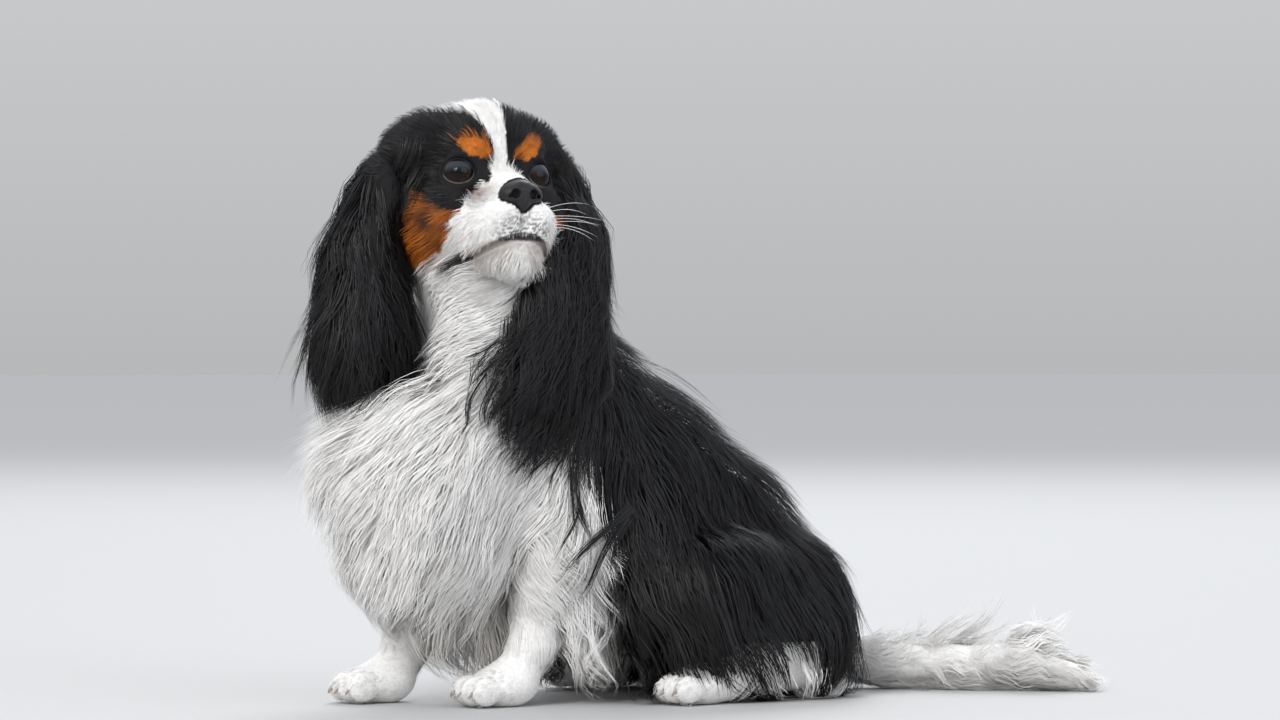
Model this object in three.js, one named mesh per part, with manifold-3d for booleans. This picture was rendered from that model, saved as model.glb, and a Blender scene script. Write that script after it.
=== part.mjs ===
// A cavalier king charles spaniel, sitting, with its head turned over its left shoulder. Life size, still.
// Millimetres. +Z is up, -Y is the way the body faces and +X is the dog's left.
// The origin is on the floor, in the middle of the flat under its rump.
import * as THREE from "three";
import { mergeVertices } from "three/addons/utils/BufferGeometryUtils.js";
import Module from "manifold-3d";

const wasm = await Module();
wasm.setup();

// Driving dimensions
const GAP = 0.35; // between the faces of nodes that touch
const COAT_CORE = 0.35; // share of the coat's depth that is solid under the locks
const HEAD_AT = [0, -246, 354];
const HEAD_TURN = 88.6; // degrees, to the dog's left
const HEAD_LIFT = 10.6; // degrees, nose up
const HEAD_TILT = 1.6; // degrees, left ear down
const EYE = { side: 27, ahead: 30.5, height: -5.5, radius: 12, outward: 24, wide: 10.3, high: 7.8, lid: 1.8 };
const LOCK = {
  thick: 4.5, // thickness
  root: 6.5, // depth of the root in the core
  rise: 0.4, // how early it rises to the form of the tips: 1 is evenly along its length
  step: 2.5, // every second lock of a row ends this much lower
  wave: 0.3, // sideways bend, in radians
  smooth: 0.4, // share of the last station's direction that is kept
  clear: 4.5, // from its middle to the core of a neighbouring node
  apart: 0.45, // least mean distance to another lock, as a share of the width
  cover: 15, // no root lies this near to a lock of another node
  twist: 1.15, // most turn between two stations, in radians
};
const PAW = { long: 30, wide: 21, high: 15, toe: 9.5 };

const point = (x, y, z) => new THREE.Vector3(x, y, z);
const mix = THREE.MathUtils.lerp;
const radians = THREE.MathUtils.degToRad;
const { clamp } = THREE.MathUtils;
const left = 1;
const right = -1;
const up = [0, 0, 1];
const back = [0, 1, 0];

// Random numbers between -1 and 1, the same in every run
let drawn = 1868;
function random() {
  drawn = (Math.imul(drawn, 1664525) + 1013904223) >>> 0;
  return drawn / 2147483648 - 1;
}

// Distance fields: each is a function of a point and is negative inside its shape
function bone([ax, ay, az, ra], [bx, by, bz, rb]) {
  const start = point(ax, ay, az);
  const along = point(bx, by, bz).sub(start);
  const size = along.lengthSq();
  return (p) => {
    const from = p.clone().sub(start);
    const t = clamp(from.dot(along) / size, 0, 1);
    return from.addScaledVector(along, -t).length() - mix(ra, rb, t);
  };
}

function oval([cx, cy, cz], [x, y, z]) {
  const middle = point(cx, cy, cz);
  return (p) => {
    const q = p.clone().sub(middle);
    const near = Math.hypot(q.x / x, q.y / y, q.z / z);
    const slope = Math.hypot(q.x / (x * x), q.y / (y * y), q.z / (z * z));
    return slope < 1e-9 ? -Math.min(x, y, z) : (near * (near - 1)) / slope;
  };
}

function blend(soft, ...fields) {
  return (p) =>
    fields.reduce((low, field) => {
      const d = field(p);
      const h = Math.max(soft - Math.abs(low - d), 0) / soft;
      return Math.min(low, d) - (h * h * soft) / 4;
    }, 1e3);
}

// A chain of bones through the given ends, each [x, y, z, radius]
const chain = (soft, ...ends) => blend(soft, ...ends.slice(1).map((end, i) => bone(ends[i], end)));
const bothSides = (field) => (p) => field(point(Math.abs(p.x), p.y, p.z));
const between = (inner, outer, share) => (p) => mix(inner(p), outer(p), share);
const larger = (field, by) => (p) => field(p) - by;

function slopeOf(field, p) {
  const e = 0.4;
  const at = (x, y, z) => field(point(p.x + x, p.y + y, p.z + z));
  return point(
    at(e, 0, 0) - at(-e, 0, 0),
    at(0, e, 0) - at(0, -e, 0),
    at(0, 0, e) - at(0, 0, -e),
  ).normalize();
}

// The head's own frame: its origin is the middle of the skull and it looks along -Y
const headFrame = new THREE.Matrix4().compose(
  point(...HEAD_AT),
  new THREE.Quaternion().setFromEuler(
    new THREE.Euler(-radians(HEAD_LIFT), radians(HEAD_TILT), radians(HEAD_TURN), "ZXY"),
  ),
  point(1, 1, 1),
);
const headInverse = headFrame.clone().invert();

// Flesh of the head, in its own frame
const earBase = bothSides(oval([36, 2, 24], [21, 23, 21]));
const skull = blend(14, oval([0, 4, 8], [45, 46, 43]), oval([0, -20, 14], [33, 25, 30]), earBase);
const face = bothSides(
  blend(
    10,
    oval([20, -33, 12], [13, 9, 10]),
    oval([31, -10, -26], [21, 31, 27]),
    oval([33, 10, -22], [20, 26, 33]),
    bone([0, -34, -15, 18], [0, -60, -23, 12.5]),
    oval([12, -59, -43], [15.5, 17, 15.5]),
    oval([19, -38, -47], [14, 26, 18]),
    bone([0, -22, -58, 17], [0, -56, -66, 13.5]),
    bone([0, -4, -40, 34], [0, 10, -48, 34]),
  ),
);
const lidSize = EYE.radius + EYE.lid;
const lids = bothSides(oval([EYE.side, -EYE.ahead, EYE.height], [lidSize, lidSize, EYE.radius + 1]));
const headFlesh = blend(5, blend(12, skull, face), lids);
const noseLeather = blend(
  4,
  oval([0, -68, -27], [11, 9.5, 9.5]),
  bothSides(oval([8, -69, -29], [6, 7.5, 6.5])),
  oval([0, -70, -35], [4.5, 6, 6]),
);

// Body: for each node the skin, and the form that the tips of the coat reach
const neck = {
  axis: [[0, -216, 226], [0, -228, 262], [0, -237, 296]],
  skin: chain(20, [0, -214, 208, 50], [0, -238, 305, 38], [0, -232, 330, 36]),
  tips: chain(20, [0, -212, 215, 62], [0, -236, 305, 47], [0, -232, 330, 43]),
};

const CHEST_CUT = -205; // y of the plane that parts the chest from the torso
const torso = {
  axis: [[0, -10, 50], [0, -66, 102], [0, -130, 144], [0, -208, 166]],
  skin: blend(
    24,
    chain(10, [0, -6, 36, 40], [0, -20, 58, 43], [0, -70, 106, 47], [0, -134, 146, 54], [0, -235, 168, 58]),
    bone([0, -156, 192, 34], [0, -195, 206, 44]),
    bone([0, -56, 76, 40], [0, -150, 122, 48]),
  ),
  tips: blend(
    16,
    chain(6, [0, -2, 38, 46], [0, -18, 62, 50], [0, -66, 110, 61], [0, -134, 150, 70], [0, -230, 176, 72]),
    bone([0, -130, 196, 40], [0, -185, 215, 56]),
  ),
};

const chest = {
  axis: [[0, -222, 212], [0, -250, 176], [0, -264, 142], [0, -266, 108]],
  skin: blend(
    24,
    chain(10, [0, -150, 150, 54], [0, -235, 168, 58], [0, -270, 166, 49]),
    bone([0, -195, 206, 44], [0, -225, 215, 46]),
    bone([36, -200, 190, 24], [40, -214, 146, 28]),
    bone([-36, -218, 190, 24], [-38, -234, 146, 28]),
  ),
  tips: blend(
    16,
    chain(6, [0, -134, 150, 70], [0, -225, 190, 72], [0, -250, 200, 70], [0, -286, 150, 74]),
    chain(10, [0, -286, 150, 74], [0, -284, 112, 66], [0, -276, 62, 36], [0, -256, 36, 13]),
  ),
};

// The long hair that hangs from the flank, ahead of the thigh
function flankOf(side) {
  const end = (x, y, z, r) => [x * side, y, z, r];
  return {
    axis: [[48, -146, 108], [60, -152, 74], [66, -152, 40]].map(([x, y, z]) => [x * side, y, z]),
    skin: chain(10, end(46, -140, 116, 22), end(62, -150, 60, 10), end(68, -152, 34, 5)),
    tips: chain(10, end(46, -150, 112, 36), end(64, -158, 60, 26), end(70, -156, 20, 19)),
  };
}

const legs = [
  { name: "left", side: left, elbow: [47, -211, 116], wrist: [39, -223, 42], forepaw: [36, -250, 13] },
  { name: "right", side: right, elbow: [-45, -246, 114], wrist: [-36, -280, 41], forepaw: [-34, -308, 13] },
];
const HIP = [42, -30, 70];
const KNEE = [66, -110, 72];
const HOCK = [74, -22, 30];
const HEEL = [74, -18, 16];
const INSTEP = [80, -92, 16];
const HINDPAW = [82, -122, 13];

function forelegOf({ side, elbow, wrist, forepaw }) {
  const [ex, ey, ez] = elbow;
  const [px, py] = forepaw;
  const ankle = [px, py + 16, 20];
  const skin = chain(10, [...elbow, 23], [...wrist, 14], [...ankle, 14]);
  const feather = chain(
    10,
    [ex, ey + 8, ez - 8, 27],
    [ex, ey + 14, ez - 54, 20],
    [ex + 5 * side, ey + 26, 14, 12],
  );
  return { axis: [elbow, wrist, ankle], skin, tips: blend(10, skin, feather) };
}

function thighOf(side) {
  const end = ([x, y, z], r) => [x * side, y, z, r];
  return {
    axis: [[50, -24, 60], [60, -60, 58], [66, -96, 60]].map(([x, y, z]) => [x * side, y, z]),
    skin: blend(
      20,
      bone(end(HIP, 38), end(KNEE, 31)),
      bone(end(KNEE, 27), end(HOCK, 19)),
      oval([60 * side, -50, 44], [30, 50, 38]),
    ),
    tips: blend(
      16,
      bone(end(HIP, 44), end([68, -112, 76], 42)),
      chain(10, end([50, -8, 46], 32), end([70, -34, 40], 34), end([74, -110, 46], 35)),
      chain(10, end([60, 4, 16], 22), end([82, -60, 22], 24), end([82, -122, 30], 24)),
    ),
  };
}

function hockOf(side) {
  const end = ([x, y, z], r) => [x * side, y, z, r];
  return blend(8, bone(end(HOCK, 15), end(INSTEP, 13)), bone(end(HEEL, 15), end(HOCK, 13)));
}

function pawOf([x, y, z]) {
  const toes = [-1.5, -0.5, 0.5, 1.5].map((n) =>
    oval(
      [x + n * PAW.toe, y - 19 + Math.abs(n) * 4, z - 2],
      [PAW.toe * 0.68, PAW.toe * 1.25, PAW.toe * 1.12],
    ),
  );
  return blend(3, oval([x, y + 4, z], [PAW.wide * 0.92, PAW.long * 0.78, PAW.high]), ...toes);
}

const tail = {
  axis: [[6, 46, 18], [26, 76, 19], [46, 104, 20], [72, 136, 22], [96, 164, 15]],
  skin: chain(6, [6, 40, 20, 13], [26, 76, 18, 12], [46, 104, 18, 12], [72, 136, 20, 12], [98, 168, 12, 8]),
  tips: chain(
    10,
    [6, 46, 20, 18],
    [28, 74, 20, 23],
    [50, 102, 24, 30],
    [80, 138, 30, 30],
    [108, 176, 14, 15],
  ),
};

const ears = {
  right: {
    axis: [[-11, -298, 373], [-12, -315, 340], [-12, -326, 300], [-12, -329, 262]],
    skin: blend(
      10,
      oval([-11, -297, 371], [19, 13, 15]),
      oval([-12, -314, 341], [25, 12, 28]),
      oval([-12, -325, 300], [29, 14, 36]),
      oval([-12, -329, 264], [29, 18, 28]),
    ),
    tips: blend(
      10,
      oval([-11, -298, 373], [23, 20, 22]),
      oval([-13, -318, 342], [24, 25, 38]),
      oval([-12, -327, 296], [26, 33, 44]),
      oval([-12, -325, 238], [29, 43, 58]),
    ),
  },
  left: {
    axis: [[-7, -196, 372], [2, -185, 344], [26, -188, 308], [58, -214, 260]],
    skin: blend(
      10,
      oval([-7, -196, 370], [18, 13, 15]),
      oval([2, -184, 342], [21, 12, 30]),
      oval([26, -188, 308], [16, 18, 30]),
      oval([43, -200, 284], [14, 23, 30]),
      oval([58, -214, 260], [12, 28, 34]),
    ),
    tips: blend(
      10,
      oval([-6, -194, 371], [22, 19, 20]),
      oval([4, -178, 345], [21, 24, 32]),
      oval([26, -187, 309], [24, 27, 34]),
      oval([43, -200, 284], [24, 33, 36]),
      oval([58, -216, 258], [23, 40, 44]),
      oval([71, -232, 220], [19, 44, 36]),
    ),
  },
};

// Solids
function manifoldOf(corners, triangles) {
  return new wasm.Manifold(
    new wasm.Mesh({
      numProp: 3,
      vertProperties: new Float32Array(corners),
      triVerts: new Uint32Array(triangles),
    }),
  );
}

function turned(solid) {
  const mesh = solid.getMesh();
  const triangles = new Uint32Array(mesh.triVerts);
  for (let i = 0; i < triangles.length; i += 3) {
    [triangles[i + 1], triangles[i + 2]] = [triangles[i + 2], triangles[i + 1]];
  }
  return manifoldOf(mesh.vertProperties, triangles);
}

function solidOf(geometry) {
  const bare = geometry.clone();
  bare.deleteAttribute("normal");
  bare.deleteAttribute("uv");
  const merged = mergeVertices(bare, 1e-4);
  const solid = manifoldOf(merged.attributes.position.array, merged.index.array);
  return solid.volume() > 0 ? solid : turned(solid);
}

// The point where a ray from inside a field leaves it
function reach(field, origin, direction) {
  let inside = 0;
  let outside = 0;
  for (let n = 0; n < 90; n++) {
    const d = field(origin.clone().addScaledVector(direction, outside));
    if (d > 0) break;
    inside = outside;
    outside += Math.max(0.6 * -d, 0.8);
  }
  for (let n = 0; n < 14; n++) {
    const middle = (inside + outside) / 2;
    if (field(origin.clone().addScaledVector(direction, middle)) > 0) outside = middle;
    else inside = middle;
  }
  return origin.clone().addScaledVector(direction, (inside + outside) / 2);
}

// An axis, with the direction that counts as angle 0 round it
function axisOf(path, zero) {
  const curve = new THREE.CatmullRomCurve3(path.map((p) => point(...p)));
  return (t) => {
    const along = curve.getTangentAt(t);
    const front = point(...zero).addScaledVector(along, -along.dot(point(...zero))).normalize();
    return { at: curve.getPointAt(t), along, front, across: along.clone().cross(front) };
  };
}

// A capsule round an axis, with each of its corners moved along its ray to the edge of the field
function wrapped(field, axis, [caps, sides, rings]) {
  const tall = 10;
  const capsule = new THREE.CapsuleGeometry(1, tall, caps, sides, rings);
  const corners = capsule.attributes.position;
  for (let i = 0; i < corners.count; i++) {
    const y = corners.getY(i);
    const axial = clamp(y, -tall / 2, tall / 2);
    const here = axis(clamp(axial / tall + 0.5, 0, 1));
    const ray = point(0, 0, 0)
      .addScaledVector(here.across, corners.getX(i))
      .addScaledVector(here.along, y - axial)
      .addScaledVector(here.front, corners.getZ(i))
      .normalize();
    corners.setXYZ(i, ...reach(field, here.at, ray).toArray());
  }
  return solidOf(capsule);
}

// A ball about one centre, with more of its corners on the side that forward points to
function starred(field, centre, detail, forward) {
  const ball = new THREE.IcosahedronGeometry(1, detail);
  const corners = ball.attributes.position;
  for (let i = 0; i < corners.count; i++) {
    const ray = point(corners.getX(i), corners.getY(i), corners.getZ(i)).add(point(...forward)).normalize();
    corners.setXYZ(i, ...reach(field, point(...centre), ray).toArray());
  }
  return solidOf(ball);
}

const placed = (solid, matrix) => solid.transform([...matrix.elements]);

// The largest closed surface, found on the corners as the mesh stores them
function largest(solid) {
  const { vertProperties, triVerts } = solid.getMesh();
  const bodies = manifoldOf(vertProperties, triVerts).decompose();
  return bodies.reduce((best, next) => (next.volume() > best.volume() ? next : best));
}

function block(size, centre, matrix = new THREE.Matrix4()) {
  return solidOf(new THREE.BoxGeometry(...size).translate(...centre).applyMatrix4(matrix));
}
const FLOOR = block([900, 1100, 200], [0, -50, -100]);

// A tapered, three-sided strip through stations of a point, its outward normal, a width and a thickness.
// Made fatter, with its sides split along either diagonal, it encloses the plain strip by that much.
function strip(stations, fatter = 0, flipped = false) {
  const corners = [];
  const triangles = [];
  stations.forEach(({ at, out, wide, thick }, i) => {
    const before = stations[Math.max(i - 1, 0)].at;
    const after = stations[Math.min(i + 1, stations.length - 1)].at;
    const along = after.clone().sub(before).normalize();
    const across = along.clone().cross(out).normalize();
    const top = across.clone().cross(along).normalize();
    const half = wide / 2 + fatter * 6;
    const lower = -thick / 2 - fatter;
    const sides = [[-half, lower], [half, lower], [0, thick / 2 + fatter * 1.5]];
    const end = i === 0 ? -2 : i === stations.length - 1 ? 2 : 0;
    const middle = at.clone().addScaledVector(along, end * fatter);
    for (const [a, b] of sides) {
      corners.push(...middle.clone().addScaledVector(across, a).addScaledVector(top, b).toArray());
    }
  });
  const rings = stations.length;
  for (let i = 0; i < rings - 1; i++) {
    for (let j = 0; j < 3; j++) {
      const a = i * 3 + j;
      const b = i * 3 + ((j + 1) % 3);
      if (flipped) triangles.push(a, b, a + 3, b, b + 3, a + 3);
      else triangles.push(a, b, b + 3, a, b + 3, a + 3);
    }
  }
  triangles.push(2, 1, 0, rings * 3 - 3, rings * 3 - 2, rings * 3 - 1);
  const solid = manifoldOf(corners, triangles);
  return solid.volume() > 0 ? solid : turned(solid);
}

// Nodes, in order: each core is cut clear of the ones before it
const WHITE = 0xe6e0d8;
const BLACK = 0x1c1a1b;
const NOSE = 0x24211f;
const IRIS = 0x2a1810;
const nodes = [];

function node(name, colour, field, make, coat = null) {
  let solid = make(0).subtract(FLOOR);
  for (const other of nodes) solid = solid.subtract(other.clear);
  nodes.push({ name, colour, field, coat, solid: largest(solid), clear: make(GAP) });
}

// Nose
function nostrils(leather) {
  let cut = leather;
  for (const side of [left, right]) {
    const hole = new THREE.SphereGeometry(1, 8, 5).scale(3.2, 6.5, 3.1).rotateZ(0.5 * side);
    cut = cut.subtract(solidOf(hole.translate(6.2 * side, -77, -29)));
  }
  return cut;
}
const onHead = (field) => (p) => field(p.clone().applyMatrix4(headInverse));
node("nose", NOSE, onHead(noseLeather), (grown) => {
  const leather = starred(larger(noseLeather, grown), [0, -68, -28], 3, [0, 0, 0]);
  return placed(grown ? leather : nostrils(leather), headFrame);
});

// Eyes
const eyeAt = (side) => [EYE.side * side, -EYE.ahead, EYE.height];
const eyeBall = (side, radius, detail) =>
  solidOf(new THREE.IcosahedronGeometry(radius, detail).translate(...eyeAt(side)));
for (const { name, side } of legs) {
  const ball = onHead(oval(eyeAt(side), [EYE.radius, EYE.radius, EYE.radius]));
  node(`eye_${name}`, IRIS, ball, (grown) => placed(eyeBall(side, EYE.radius + grown, 2), headFrame));
}

// Head: the flesh, lids over the eyes, grooves for the lips and under the nose, and the top of the neck
function eyeOpening(side) {
  const cone = new THREE.CylinderGeometry(1.9, 0.78, 20, 20);
  cone.scale(EYE.wide, 1, EYE.high).translate(0, 14, 0);
  const turn = radians(EYE.outward);
  const aim = point(Math.sin(turn) * side, -Math.cos(turn), 0);
  const frame = new THREE.Matrix4().makeBasis(aim.clone().cross(point(0, 0, 1)), aim, point(0, 0, 1));
  return solidOf(cone.applyMatrix4(frame).translate(...eyeAt(side)));
}

function lipLine(wide, thick) {
  const stations = [];
  for (let n = -5; n <= 5; n++) {
    const angle = radians(n * 14.5);
    const drop = 9 * (Math.abs(n) / 5) ** 1.6;
    const ray = point(Math.sin(angle), -Math.cos(angle), -0.03).normalize();
    const at = reach(headFlesh, point(0, -34, -55 - drop), ray);
    stations.push({ at, out: slopeOf(headFlesh, at), wide, thick });
  }
  return strip(stations);
}

function philtrum(wide, thick) {
  const stations = [];
  for (let n = 0; n <= 3; n++) {
    const at = reach(headFlesh, point(0, -40, -39 - n * 5), point(0, -1, 0));
    stations.push({ at, out: slopeOf(headFlesh, at), wide, thick });
  }
  return strip(stations);
}

// The cut between head and neck slopes down towards the throat, which is on the dog's left
const neckCut = new THREE.Matrix4().compose(
  point(0, -238, 300),
  new THREE.Quaternion().setFromUnitVectors(point(0, 0, 1), point(0.33, 0, 0.94).normalize()),
  point(1, 1, 1),
);
const aboveCut = (grown) => block([400, 400, 120], [0, 0, 60 - grown], neckCut);
const coreOf = ({ skin, tips }) => between(skin, tips, COAT_CORE);

node("head", BLACK, onHead(headFlesh), (grown) => {
  let shape = starred(larger(headFlesh, grown), [0, -18, -18], 8, [0, -0.3, -0.12]);
  for (const side of [left, right]) {
    if (!grown) shape = shape.subtract(eyeOpening(side));
  }
  if (!grown) shape = shape.subtract(lipLine(2.6, 3)).subtract(philtrum(2.4, 2.6));
  const stub = wrapped(larger(coreOf(neck), grown), axisOf([...neck.axis, [0, -236, 318]], back), [3, 12, 5]);
  return placed(shape, headFrame).add(stub.intersect(aboveCut(grown)));
});

// Lie of the coat: the way the hair points at a place
const down = point(0, 0, -1);
const lies = {
  trunk: (p) => {
    const flank = clamp(Math.abs(p.x) / 50, 0, 1);
    return point(p.x * 0.004, mix(0.8, 0.3, flank), mix(-0.6, -1, flank));
  },
  chest: (p) => point(p.x * 0.006, p.z > 120 ? -0.25 : 0.15, -1),
  neck: (p) => point(p.x * 0.004, p.y > -225 ? 0.5 : -0.2, -1),
  earRight: (p) => point((p.x + 12) * 0.006, 0, -1),
  earLeft: (p) => point(p.z > 330 ? 0.35 : 0.75, p.z > 330 ? 0.3 : -0.35, -1),
  thigh: (p) => point(p.x * 0.002, 0.25, -1),
  foreleg: () => point(0, 0.45, -0.9),
  tail: (p) => point(0.55 + (p.x - tailMiddle(p.y)) * 0.015, 0.8, (p.z - 24) * 0.02),
};
const tailMiddle = (y) => mix(6, 96, clamp((y - 46) / 118, 0, 1));

const TAPER = [0.5, 1.05, 0.9, 0.12]; // width of a lock from root to tip

// One lock: it rises from under the surface of the core to the form of the tips as it runs along the lie
function lockPath({ core, tips, lie }, root, long, wave, lower, obstacles) {
  const steps = TAPER.length - 1;
  const path = [];
  const at = root.clone();
  for (let i = 0; i <= steps; i++) {
    const share = i / steps;
    const rising = (p) => mix(core(p) + LOCK.root, tips(p) + lower, share ** LOCK.rise);
    const level = i > 0 ? blend(8, rising, ...obstacles) : rising;
    for (let n = 0; n < 4; n++) at.addScaledVector(slopeOf(level, at), -level(at));
    at.z = Math.max(at.z, LOCK.thick * 0.5 + 1);
    const out = slopeOf(level, at);
    if (i > 0) out.lerp(path[i - 1].out, LOCK.smooth).normalize();
    path.push({ at: at.clone(), out });
    const way = lie(at);
    way.addScaledVector(out, -way.dot(out)).normalize();
    const bend = LOCK.wave * Math.sin(wave + share * 5);
    at.addScaledVector(way.applyAxisAngle(out, bend), long / steps);
  }
  return path;
}

const twistOf = (path) => Math.max(...path.slice(1).map(({ out }, i) => out.angleTo(path[i].out)));
function spacing(path, other) {
  const nearest = path.map(({ at }) => Math.min(...other.map((station) => station.at.distanceTo(at))));
  return nearest.reduce((sum, distance) => sum + distance) / path.length;
}

function lockOf(path, wide, fatter, flipped) {
  const stations = path.map(({ at, out }, i) => ({
    at,
    out,
    wide: wide * TAPER[i],
    thick: LOCK.thick * Math.max(TAPER[i], 0.3),
  }));
  return strip(stations, fatter, flipped);
}

// Each row of roots: its place along the axis (0 to 1, and past that round its ends), the first and last
// angle round it, and the count, length and width of its locks
function locksOf({ name, coat }, laid) {
  const others = nodes.filter((n) => n.name !== name && n.name !== "tail");
  const hanging = others.filter((n) => n.name.startsWith("ear") && !name.startsWith("ear"));
  const lying = others.filter((n) => !hanging.includes(n)).map((n) => larger(n.field, LOCK.clear));
  const paths = [];
  for (const { axis, rows } of coat.seeds) {
    for (const [along, from, to, count, long, wide] of rows) {
      const here = axis(clamp(along, 0, 1));
      const lean = (along - clamp(along, 0, 1)) * (Math.PI / 2);
      for (let i = 0; i < count; i++) {
        const angle = radians(mix(from, to, (i + 0.5 + random() * 0.2) / count));
        const ray = here.front.clone().multiplyScalar(Math.cos(angle) * Math.cos(lean));
        ray.addScaledVector(here.across, Math.sin(angle) * Math.cos(lean));
        ray.addScaledVector(here.along, Math.sin(lean));
        const root = reach(coat.core, here.at, ray);
        const hidden = others.some((n) => n.field(root) < -3);
        const [size, wave] = [1 + random() * 0.12, random() * Math.PI];
        const covered = laid.some(({ at }) => at.distanceTo(root) < LOCK.cover);
        if (hidden || covered || root.z < 12) continue;
        const lower = i % 2 ? LOCK.step : 0;
        const path = lockPath(coat, root, long * size, wave, lower, lying);
        const crowded = paths.some((other) => spacing(path, other.path) < wide * LOCK.apart);
        const caught = path.some(({ at }) => hanging.some((n) => n.field(at) < 0));
        const twisted = twistOf(path) > LOCK.twist;
        if (!crowded && !caught && !twisted) paths.push({ path, wide: wide * size });
      }
    }
  }
  return paths;
}

// Body
const coatOf = (body, lie, seeds) => ({ core: coreOf(body), tips: body.tips, lie, seeds });
for (const leg of legs) {
  const { name, side } = leg;
  const [x, y, z] = leg.forepaw;
  const forepaw = pawOf(leg.forepaw);
  node(`forepaw_${name}`, WHITE, forepaw, (grown) =>
    starred(larger(forepaw, grown), [x, y - 2, z - 2], 3, [0, -0.3, 0]));
  const [hx, hy, hz] = [HINDPAW[0] * side, HINDPAW[1], HINDPAW[2]];
  const hindpaw = pawOf([hx, hy, hz]);
  node(`hindpaw_${name}`, WHITE, hindpaw, (grown) =>
    starred(larger(hindpaw, grown), [hx, hy - 2, hz - 2], 3, [0, -0.3, 0]));
  const hock = hockOf(side);
  const hockAxis = axisOf([[74 * side, -20, 22], [77 * side, -55, 20], [80 * side, -92, 16]], up);
  node(`hock_${name}`, WHITE, hock, (grown) => wrapped(larger(hock, grown), hockAxis, [2, 8, 2]));
  const foreleg = forelegOf(leg);
  const legAxis = axisOf(foreleg.axis, back);
  const feather = [[0.1, -70, 70, 2, 60, 21], [0.5, -70, 70, 2, 52, 19]];
  const legCoat = coatOf(foreleg, lies.foreleg, [{ axis: legAxis, rows: feather }]);
  node(`foreleg_${name}`, WHITE, legCoat.core, (grown) =>
    wrapped(larger(legCoat.core, grown), legAxis, [2, 10, 7]), legCoat);
}

const trunkAxis = axisOf(torso.axis, back);
const chestAxis = axisOf(chest.axis, [0, -1, 0]);
const torsoCoat = coatOf(torso, lies.trunk, [
  {
    axis: trunkAxis,
    rows: [
      [-0.05, -75, 75, 4, 58, 31],
      [0.27, -95, 95, 5, 76, 34],
      [0.58, -110, 110, 6, 84, 36],
      [0.9, -120, 120, 7, 88, 36],
    ],
  },
]);
const chestCoat = coatOf(chest, lies.chest, [
  {
    axis: chestAxis,
    rows: [
      [0.05, -110, 110, 5, 80, 36],
      [0.4, -110, 110, 4, 88, 41],
      [0.8, -115, 115, 5, 88, 36],
      [1.2, -150, 150, 4, 78, 32],
    ],
  },
]);
const behindCut = (field) => (p) => Math.max(field(p), CHEST_CUT - p.y);
const aheadOfCut = (field) => (p) => Math.max(field(p), p.y - CHEST_CUT);
node("torso", BLACK, behindCut(torsoCoat.core), (grown) => {
  const shape = wrapped(larger(torsoCoat.core, grown), trunkAxis, [3, 12, 6]);
  return shape.intersect(block([400, 400, 500], [0, CHEST_CUT + 200 - grown, 200]));
}, torsoCoat);
node("chest", WHITE, aheadOfCut(chestCoat.core), (grown) => {
  const shape = wrapped(larger(chestCoat.core, grown), chestAxis, [3, 12, 6]);
  return shape.intersect(block([400, 400, 500], [0, CHEST_CUT - 200 + grown, 200]));
}, chestCoat);
for (const { name, side } of legs) {
  const flank = flankOf(side);
  const flankAxis = axisOf(flank.axis, [side, 0, 0]);
  const flankCoat = coatOf(flank, lies.thigh, [
    { axis: flankAxis, rows: [[0.05, -110, 110, 3, 66, 24], [0.55, -130, 130, 4, 58, 21]] },
  ]);
  node(`flank_${name}`, BLACK, flankCoat.core, (grown) =>
    wrapped(larger(flankCoat.core, grown), flankAxis, [2, 8, 3]), flankCoat);
}

const throatAxis = axisOf(neck.axis, [1, -0.6, 0]);
const neckCoat = coatOf(neck, lies.neck, [
  {
    axis: throatAxis,
    rows: [[0.6, -95, 75, 3, 54, 32], [0.95, -110, 60, 3, 46, 32], [0.75, 95, 250, 3, 58, 34]],
  },
]);
node("neck", WHITE, neckCoat.core, (grown) =>
  wrapped(larger(neckCoat.core, grown), throatAxis, [2, 10, 2]).subtract(aboveCut(GAP - grown)), neckCoat);

for (const { name, side } of legs) {
  const ear = ears[name];
  const earAxis = axisOf(ear.axis, side > 0 ? [0.7, 0.7, 0] : [0.3, -1, 0]);
  const earCoat = coatOf(ear, side > 0 ? lies.earLeft : lies.earRight, [
    {
      axis: earAxis,
      rows: [
        [0.17, -80, 80, 3, 84, 28],
        [0.45, -95, 95, 4, 88, 30],
        [0.8, -110, 110, 4, 88, 31],
        [1.15, -140, 140, 3, 78, 31],
      ],
    },
  ]);
  node(`ear_${name}`, BLACK, earCoat.core, (grown) =>
    wrapped(larger(earCoat.core, grown), earAxis, [2, 10, 6]), earCoat);

  const thigh = thighOf(side);
  const thighAxis = axisOf(thigh.axis, up);
  const span = side > 0 ? [-145, 20] : [-20, 145];
  const thighCoat = coatOf(thigh, lies.thigh, [
    {
      axis: thighAxis,
      rows: [
        [0.02, ...span, 4, 70, 31],
        [0.55, ...span, 4, 76, 33],
        [1.15, ...span, 4, 76, 33],
      ],
    },
  ]);
  node(`thigh_${name}`, BLACK, thighCoat.core, (grown) =>
    wrapped(larger(thighCoat.core, grown), thighAxis, [3, 12, 4]), thighCoat);
}

const tailLine = axisOf(tail.axis, up);
const tailCoat = coatOf(tail, lies.tail, [
  {
    axis: tailLine,
    rows: [
      [0.08, -95, 95, 4, 66, 23],
      [0.42, -100, 100, 4, 70, 25],
      [0.8, -105, 105, 3, 62, 26],
    ],
  },
]);
node("tail", WHITE, tailCoat.core, (grown) =>
  wrapped(larger(tailCoat.core, grown), tailLine, [2, 10, 8]), tailCoat);

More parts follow.
